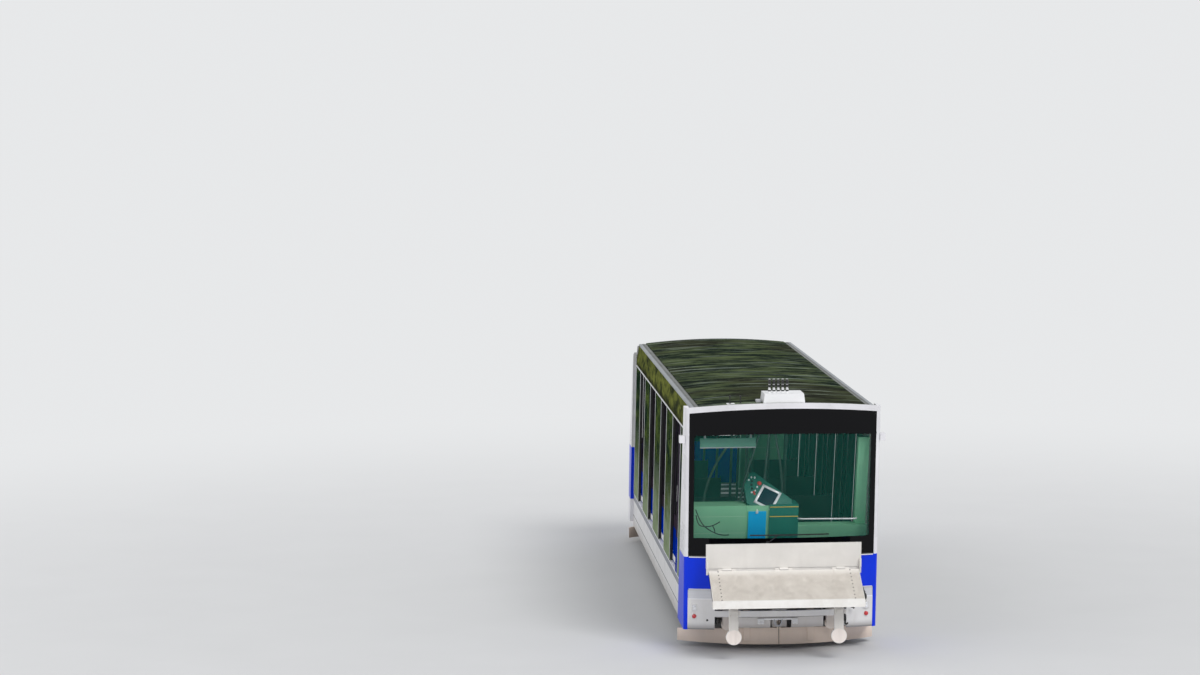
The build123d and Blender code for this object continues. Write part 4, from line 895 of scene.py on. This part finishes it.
# %% Gutters and window edges
skin_half = 1.150
bays = [(0.0, 0.82), (1.98, 2.98), (3.86, 4.86), (5.74, 6.74), (7.62, 8.50)]
sill_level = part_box("side_windows")[0][2]
rail_low, rail_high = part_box("cantrails")
for name, side in sides.items():
    skin = side * skin_half
    block_piece(name + "_gutter", edge_silver,
                ((skin, rail_low[1] + 0.02, gutter_level - 0.012),
                 (skin + side * 0.012, rail_high[1] - 0.17, gutter_level + 0.004), 0.002))
    block_piece(name + "_window_edges", bay_edge, *(
        ((skin - 0.004, station, sill_level + 0.006), (skin + 0.004, station + 0.016, gutter_level - 0.016), 0.0015,
         leaning) for bay in bays for station in (bay[0] + 0.004, bay[1] - 0.020)))

# %% [markdown]
# Each door leaf has a rubber edge where the two meet, a finger plate beside it, and a kick plate along its
# foot. They ride with their own set of leaves, and stay flatter than the gap to the wall that the leaves
# slide behind. A brush seal on the car closes that gap at both edges of every doorway.

# %% Door fittings
door_starts = [1.10 + 1.88 * index for index in range(4)]
leaf_face, seal_near, seal_far = 1.107, 1.1115, 1.1460
for name, side in sides.items():
    for way, half, inward in (("uphill", 0.437, -1), ("downhill", 0.443, 1)):
        rubbers, plates = bmesh.new(), bmesh.new()
        inside, outside = side * (leaf_face - 0.001), side * (leaf_face + 0.003)
        for start in door_starts:
            edge = start + half
            block(rubbers, (side * (leaf_face - 0.036), edge, 0.752),
                  (side * (leaf_face + 0.0025), edge + inward * 0.022, 2.792), 0.001, leaning)
            for near, far, foot, top in ((0.026, 0.046, 1.62, 1.84), (0.04, 0.42, 0.765, 0.845)):
                block(plates, (inside, edge + inward * near, foot), (outside, edge + inward * far, top), 0.0012,
                      leaning)
        body = "%s_doors_%s" % (name, way)
        keep(body + "_rubbers", rubbers, rubber, body)
        keep(body + "_plates", plates, edge_silver, body)
    block_piece(name + "_door_seals", rubber, *(
        ((side * seal_near, station, 0.752), (side * seal_far, station + 0.005, 2.790), 0.001, leaning)
        for start in door_starts for station in (start - 0.005, start + 0.881)))

# %% [markdown]
# Behind the windscreen a blank sign panel hangs from the header on two flat bars. It is a thin case, so a
# block with small rounded edges is its real shape.

# %% Blank sign
sign_y, sign_left, sign_right = uphill_face(-0.67, 2.65) + 0.16, -1.010, -0.325
block_piece("blank_sign", sign_green, ((sign_left, sign_y, 2.598), (sign_right, sign_y + 0.025, 2.706), 0.004))
block_piece("sign_bracket", fixture_grey, ((sign_left, sign_y - 0.002, 2.584), (sign_right, sign_y + 0.028, 2.598)), *(
    ((x - 0.010, sign_y + 0.006, 2.700), (x + 0.010, sign_y + 0.020, 3.045)) for x in (-0.95, -0.385)))

# %% [markdown]
# Each end has a driver's desk: a sloping panel with an uneven outline, a framed screen and a few buttons.
# The outline is drawn flat with its seven corners, filled, and thickened by an extrusion. One matrix then
# turns panel, frame and buttons together, and a plane cuts off what would reach into the console below.

# %% Driver's desks
desk_outline = [(-0.34, 0.21), (-0.30, 0.24), (0.27, 0.13), (0.325, 0.06), (0.325, -0.19), (-0.19, -0.19),
                (-0.335, 0.02)]
half_width, half_height, bar_width = 0.1275, 0.138, 0.030
desk_turn = Matrix.Rotation(radians(-32), 4, "X") @ Matrix.Rotation(radians(29.6), 4, "Y")


def cut_below(mesh, level):
    """Cuts a mesh off below a level and closes the cut."""
    cut = bmesh.ops.bisect_plane(mesh, geom=mesh.verts[:] + mesh.edges[:] + mesh.faces[:], plane_co=(0, 0, level),
                                 plane_no=(0, 0, 1), clear_inner=True)["geom_cut"]
    bmesh.ops.holes_fill(mesh, edges=[part for part in cut if isinstance(part, bmesh.types.BMEdge)])


def knobs(name, places, radius, finish, place):
    """Round buttons that stand on the desk's slope."""
    mesh = bmesh.new()
    for x, z in places:
        turned(mesh, place @ Vector((x, -0.019, z)), place.to_3x3() @ Vector((0, -1, 0)),
               [(0, radius), (0.006, radius), (0.009, radius * 0.75), (0.020, radius * 0.75), (0.024, radius * 0.5),
                (0.025, 0)], 20)
    keep(name, mesh, finish)


def desk(end, place, console_top):
    """A desk with its screen and buttons on top of a console."""
    panel, frame_bars, display = bmesh.new(), bmesh.new(), bmesh.new()
    face = panel.faces.new([panel.verts.new(place @ Vector((x, -0.020, z))) for x, z in desk_outline])
    grown = bmesh.ops.extrude_face_region(panel, geom=[face])["geom"]
    back = place.to_3x3() @ Vector((0, 0.055, 0))
    bmesh.ops.translate(panel, verts=[part for part in grown if isinstance(part, bmesh.types.BMVert)], vec=back)
    bmesh.ops.bevel(panel, geom=panel.edges[:], offset=0.006, segments=2, affect="EDGES", profile=0.5, material=-1)
    four_bars(frame_bars, -half_width, -half_height, half_width, half_height, bar_width, (-0.036, -0.016), 0.003,
              place=place)
    block(display, (-0.105, -0.028, -0.115), (0.105, -0.015, 0.115), 0.002, place)
    for mesh in (panel, frame_bars, display):
        cut_below(mesh, console_top - 0.060)
    keep(end + "_desk", panel, locker_green)
    keep(end + "_screen_frame", frame_bars, lamp_white)
    keep(end + "_desk_screen", display, screen_face)
    for name, radius, finish, places in (
            ("_stop_button", 0.027, button_red, [(-0.176, 0.130)]),
            ("_red_buttons", 0.013, button_red, [(-0.185, -0.012), (-0.165, -0.030)]),
            ("_white_buttons", 0.012, lamp_white, [(-0.300, 0.155), (-0.262, 0.170), (-0.312, 0.105),
                                                   (-0.205, -0.028), (-0.178, 0.014), (-0.178, 0.070)]),
            ("_black_buttons", 0.014, rubber, [(-0.270, 0.110), (-0.255, 0.065), (-0.225, 0.020)])):
        knobs(end + name, places, radius, finish, place)


desk("uphill", Matrix.Translation((-0.142, -4.33, 1.901)) @ desk_turn, 1.83)
rear_low, rear_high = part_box("downhill_console")
desk("downhill", Matrix.Translation(((rear_low[0] + rear_high[0]) / 2, rear_low[1] + 0.28, rear_high[2] + 0.071))
     @ Matrix.Rotation(pi, 4, "Z") @ desk_turn, rear_high[2])

# %% [markdown]
# In front of the desk stands the console's middle panel with the blue box's latch. Both lean with the posts,
# so they are upright blocks under the same shear as the window edges.

# %% Console fittings
locker_face = -0.36
block_piece("desk_bridge", cabin_pale, ((-0.428, -0.340, 0.75), (-0.125, 0.05, 1.828), 0.004, leaning))
latch = bmesh.new()
block(latch, (-0.300, -0.372, 1.735), (-0.270, -0.355, 1.775), 0.003, leaning)
turned(latch, (-0.285, post_line(1.780, locker_face - 0.004), 1.776), (0, -0.342, 0.94),
       [(0, 0.007), (0.016, 0.007), (0.020, 0.004), (0.021, 0)], 16)
keep("box_latch", latch, box_white)

# %% [markdown]
# A white grab rail runs behind the windscreen, and a thin forked stalk stands on the left console. Both are
# bent rods, so curves through a few points give their shape. Two yellow lines cross the locker. They could
# be paint, but thin strips stay sharp from any distance.

# %% Grab rail, stalk and locker lines
rail_y, stalk_y = uphill_face(0.6, 1.67) + 0.18, -4.62
bar("windscreen_rail", rail_y, [(0.228, 0.10, 1.665), (0.232, 0, 1.672), (0.30, -0.012, 1.674),
                                (0.88, -0.002, 1.666), (0.94, 0.02, 1.664), (0.955, 0.12, 1.660)], 0.010, frame_white)
for name, points in (
        ("long", ((-1.06, 1.82), (-1.02, 1.70), (-0.95, 1.60), (-0.83, 1.525), (-0.72, 1.492), (-0.65, 1.50))),
        ("short", ((-1.055, 1.75), (-1.04, 1.64), (-0.97, 1.603), (-0.84, 1.612), (-0.76, 1.665))),
        ("fork", ((-0.85, 1.61), (-0.825, 1.57), (-0.825, 1.535)))):
    bar(name + "_stalk", stalk_y, points, 0.007, rubber)
block_piece("locker_lines", line_yellow, *(
    ((-0.126, post_line(level, locker_face) - 0.004, level - 0.005),
     (0.228, post_line(level, locker_face) + 0.003, level + 0.005), 0.001) for level in (1.815, 1.690)))

# %% [markdown]
# A fan of bent grab bars comes down from one boss under the roof behind the driver, and each ends in a
# round foot on the floor. Straight tubes would miss the fan's look, so they too are smooth curves.

# %% Grab bars
fan_y, floor_at = -3.30, 1.02
boss = bmesh.new()
turned(boss, (0.03, fan_y, 3.075), (0, 0, -1), [(0, 0.070), (0.010, 0.070), (0.024, 0.050), (0.045, 0.035), (0.060, 0)])
for index, points in enumerate((
        ((0.02, 3.06), (-0.20, 2.80), (-0.50, 2.50), (-0.77, 2.07), (-0.87, 1.60), (-0.88, floor_at)),
        ((0.02, 3.06), (-0.12, 2.60), (-0.33, 1.96), (-0.42, 1.50), (-0.43, floor_at)),
        ((0.03, 3.06), (0.00, 2.56), (-0.07, 1.97), (-0.09, 1.50), (-0.09, floor_at)),
        ((0.04, 3.06), (0.07, 2.56), (0.15, 2.21), (0.17, 1.60), (0.17, floor_at)))):
    bar("grab_bar_%d" % (index + 1), fan_y, points, 0.016, pole_steel)
    turned(boss, (points[-1][0], fan_y, floor_at - 0.03), (0, 0, 1),
           [(0, 0.045), (0.02, 0.045), (0.035, 0.022), (0.06, 0.018)])
keep("grab_bar_feet", boss, pole_steel)

# %% [markdown]
# The floor is a stair. Each tread ends in an aluminium nosing that shows through the open doors. The treads
# are level on the slope, so one matrix per tread turns its nosing there, and later the seats.

# %% Tread nosings
first_tread, tread_pitch, tread_level = -4.48796, 0.47, 0.70


def tread(index):
    """The place of a tread, turned level with the horizon."""
    return Matrix.Translation((0, first_tread + tread_pitch * index, tread_level)) @ Matrix.Rotation(slope, 4, "X")


block_piece("tread_nosings", edge_silver, *(
    ((-0.985, 0.398, -0.0005), (0.985, 0.4425, 0.0035), 0.001, tread(index)) for index in range(1, 20)))

# %% [markdown]
# The seats are foam under woven cloth on a moulded shell. A flat block would look like a box, so one seat
# cushion and one back cushion are blown up a little with the cloth solver and get their seams pressed in.

# %% Cushions
swell_limit, seam_depth, seam_reach = 0.011, 0.12, 0.014


def frozen(pad):
    """The pad's mesh with its modifiers applied."""
    return bpy.data.meshes.new_from_object(pad.evaluated_get(bpy.context.evaluated_depsgraph_get()))


def stuffed(name, size):
    """The mesh of a foam block that the cloth solver fills out, centred on the origin."""
    mesh = bmesh.new()
    block(mesh, [0.006 - edge / 2 for edge in size], [edge / 2 - 0.006 for edge in size], 0.018, segments=4)
    data = bpy.data.meshes.new(name)
    mesh.to_mesh(data)
    mesh.free()
    pad = bpy.data.objects.new(name, data)
    bpy.context.scene.collection.objects.link(pad)
    grain = pad.modifiers.new("grain", "REMESH")
    grain.mode = "VOXEL"
    grain.voxel_size = 0.009
    pad.data = frozen(pad)
    pad.modifiers.remove(grain)
    at_rest = [corner.co.copy() for corner in pad.data.vertices]
    fill = pad.modifiers.new("fill", "CLOTH")
    fill.settings.use_pressure = True
    fill.settings.uniform_pressure_force = 4
    fill.settings.effector_weights.gravity = 0
    for moment in range(1, 21):
        bpy.context.scene.frame_set(moment)
    pad.data = frozen(pad)
    pad.modifiers.remove(fill)
    bpy.context.scene.frame_set(1)
    thin = min(range(3), key=lambda axis: size[axis])
    for corner, rest in zip(pad.data.vertices, at_rest):
        move = corner.co - rest
        corner.co = rest + move * min(1, swell_limit / max(move.length, 1e-6))
        seam = min(abs(abs(corner.co.x) - size[0] / 6), abs(abs(corner.co.x) - size[0] / 2 + 0.035))
        if abs(corner.co[thin]) > size[thin] * 0.3:
            corner.co[thin] *= 1 - seam_depth * max(0, 1 - seam / seam_reach)
    padded = pad.data
    bpy.data.objects.remove(pad)
    print(name, "is filled out from", len(padded.vertices), "points")
    return padded


seat_pad = stuffed("seat_pad", (0.665, 0.400, 0.080))
back_pad = stuffed("back_pad", (0.665, 0.056, 0.500))

# %% [markdown]
# Six benches share the two pads. Solving each bench would take six times as long, so the pads are copied
# to their places. The shells and their feet are rounded blocks.

# %% Benches
bench_treads, bench_middle = (6, 10, 14), 0.6375
pads = (("seat", seat_pad, 0.250, 0.392), ("back", back_pad, 0.068, 0.690))
shells = bmesh.new()
for row, index in enumerate(bench_treads):
    for name, side in sides.items():
        middle = side * bench_middle
        for label, pad, y, z in pads:
            data = pad.copy()
            data.transform(tread(index) @ Matrix.Translation((middle, y, z)))
            data.shade_smooth()
            data.materials.clear()
            data.materials.append(seat_cloth)
            cushion = bpy.data.objects.new("%s_cushion_%s_%d" % (label, name, row + 1), data)
            cushion.modifiers.new("rounding", "SUBSURF").levels = 1
            cushion.modifiers["rounding"].render_levels = 1
            ride_as(cushion, "car")
        for half, near, far, foot, top, round_by in ((0.330, 0.016, 0.440, 0.325, 0.350, 0.008),
                                                     (0.330, 0.012, 0.036, 0.330, 0.955, 0.009),
                                                     (0.270, 0.060, 0.300, 0.0, 0.330, 0.012)):
            block(shells, (middle - half, near, foot), (middle + half, far, top), round_by, tread(index))
        for end_x in (middle - 0.3345, middle + 0.3345):
            block(shells, (end_x - 0.0045, 0.014, 0.345), (end_x + 0.0045, 0.110, 0.940), 0.004, tread(index))
shell = keep("seat_shells", shells, shell_grey)
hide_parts("seats")
for pad in (seat_pad, back_pad):
    bpy.data.meshes.remove(pad)

# %% [markdown]
# The bogies stand in the shade of the skirts, but their axle boxes and springs show from low down. A box
# cover is a turned cap with four bolts. A coil spring is a small circle spun about an upright axis while it
# climbs, which makes the helix in one step.

# %% Axle boxes and springs
axle_level, spring_foot, coil_radius, coil_steps = 0.270, 0.478, 0.042, 120
cover_outline = [(0, 0.074), (0.010, 0.074), (0.013, 0.070), (0.013, 0.050), (0.022, 0.046), (0.024, 0.038), (0.024, 0)]
for bogie, centre in (("uphill", station_start + 1.55), ("downhill", station_start + 7.45)):
    covers, springs = bmesh.new(), bmesh.new()
    for side in sides.values():
        for y in (centre - 0.75, centre + 0.75):
            turned(covers, (side * 0.7605, y, axle_level), (side, 0, 0), cover_outline)
            for up_by, along_by in ((0.045, 0.045), (0.045, -0.045), (-0.045, 0.045), (-0.045, -0.045)):
                bolt(covers, (side * 0.7725, y + along_by, axle_level + up_by), (side, 0, 0))
        for y in (centre - 0.365, centre + 0.365):
            foot = Vector((side * 0.725, y, spring_foot))
            wire_at = Matrix.Translation(foot + Vector((coil_radius, 0, 0))) @ Matrix.Rotation(pi / 2, 4, "X")
            ring = bmesh.ops.create_circle(springs, segments=10, radius=0.008, matrix=wire_at)["verts"]
            rim = list({edge for corner in ring for edge in corner.link_edges})
            bmesh.ops.spin(springs, geom=ring + rim, cent=foot, axis=(0, 0, 1), dvec=(0, 0, 0.148 / coil_steps),
                           angle=2 * pi * 5, steps=coil_steps)
    keep(bogie + "_axle_covers", covers, chassis_grey, bogie + "_bogie")
    keep(bogie + "_springs", springs, anchor_steel, bogie + "_bogie")

# %% [markdown]
# A plain floor stands for the studio. Far from the car it takes on the background's own tone, so no edge
# shows, and near it the floor stays a matt surface that keeps the car's shadow.

# %% Floor
backdrop, matt_until, plain_from = (0.80, 0.81, 0.82, 1), 6.5, 22.0
floor_mesh = bmesh.new()
bmesh.ops.create_grid(floor_mesh, x_segments=1, y_segments=1, size=400)
floor_data = bpy.data.meshes.new("studio_floor")
floor_mesh.to_mesh(floor_data)
floor_mesh.free()
floor = bpy.data.objects.new("studio_floor", floor_data)
bpy.context.scene.collection.objects.link(floor)


def seen_ray(tree):
    """1 for rays from the camera, off gloss and through glass."""
    rays = [tree.node("LightPath", out=ray) for ray in ("Is Camera Ray", "Is Glossy Ray", "Is Transmission Ray")]
    return rays[0].math("MAXIMUM", rays[1]).math("MAXIMUM", rays[2])


finish = Finish("studio_floor")
near = finish.shader(finish.mix(finish.noise(0.7, 3), (0.66, 0.66, 0.66), (0.70, 0.70, 0.70)), 0.9)
far = finish.node("Emission", {}, {"Color": backdrop, "Strength": 1.0})
share = finish.x.reach(finish.y).smooth(matt_until, plain_from) * seen_ray(finish)
floor_data.materials.append(finish.show(finish.node("MixShader", {}, {0: share, 1: near, 2: far})))
print("floor in", backdrop[:3])

# %% [markdown]
# The light is soft and plain. Lamps near the car would light one end more than the other, so one broad sun
# gives the forms their shading, a weaker one lifts the shaded side, and the world fills the rest, at a level
# where a colour comes out about as it is written.

# %% Light
for name, strength, spread, turn in (("key_sun", 1.6, 24, (48, 0, 24)), ("fill_sun", 0.45, 60, (60, 0, -70))):
    sun = bpy.data.objects.new(name, bpy.data.lights.new(name, "SUN"))
    sun.data.energy = strength
    sun.data.angle = radians(spread)
    sun.rotation_euler = [radians(angle) for angle in turn]
    bpy.context.scene.collection.objects.link(sun)
    print(name, "at strength", strength)
world = bpy.data.worlds.new("studio")
bpy.context.scene.world = world
sky = Nodes(world)
lit = sky.node("Background", {}, {"Color": (0.95, 0.97, 1.0, 1), "Strength": 0.6})
shown = sky.node("Background", {}, {"Color": backdrop, "Strength": 1.0})
sky.node("OutputWorld", {}, {"Surface": sky.node("MixShader", {}, {0: seen_ray(sky), 1: lit, 2: shown})})

# %% [markdown]
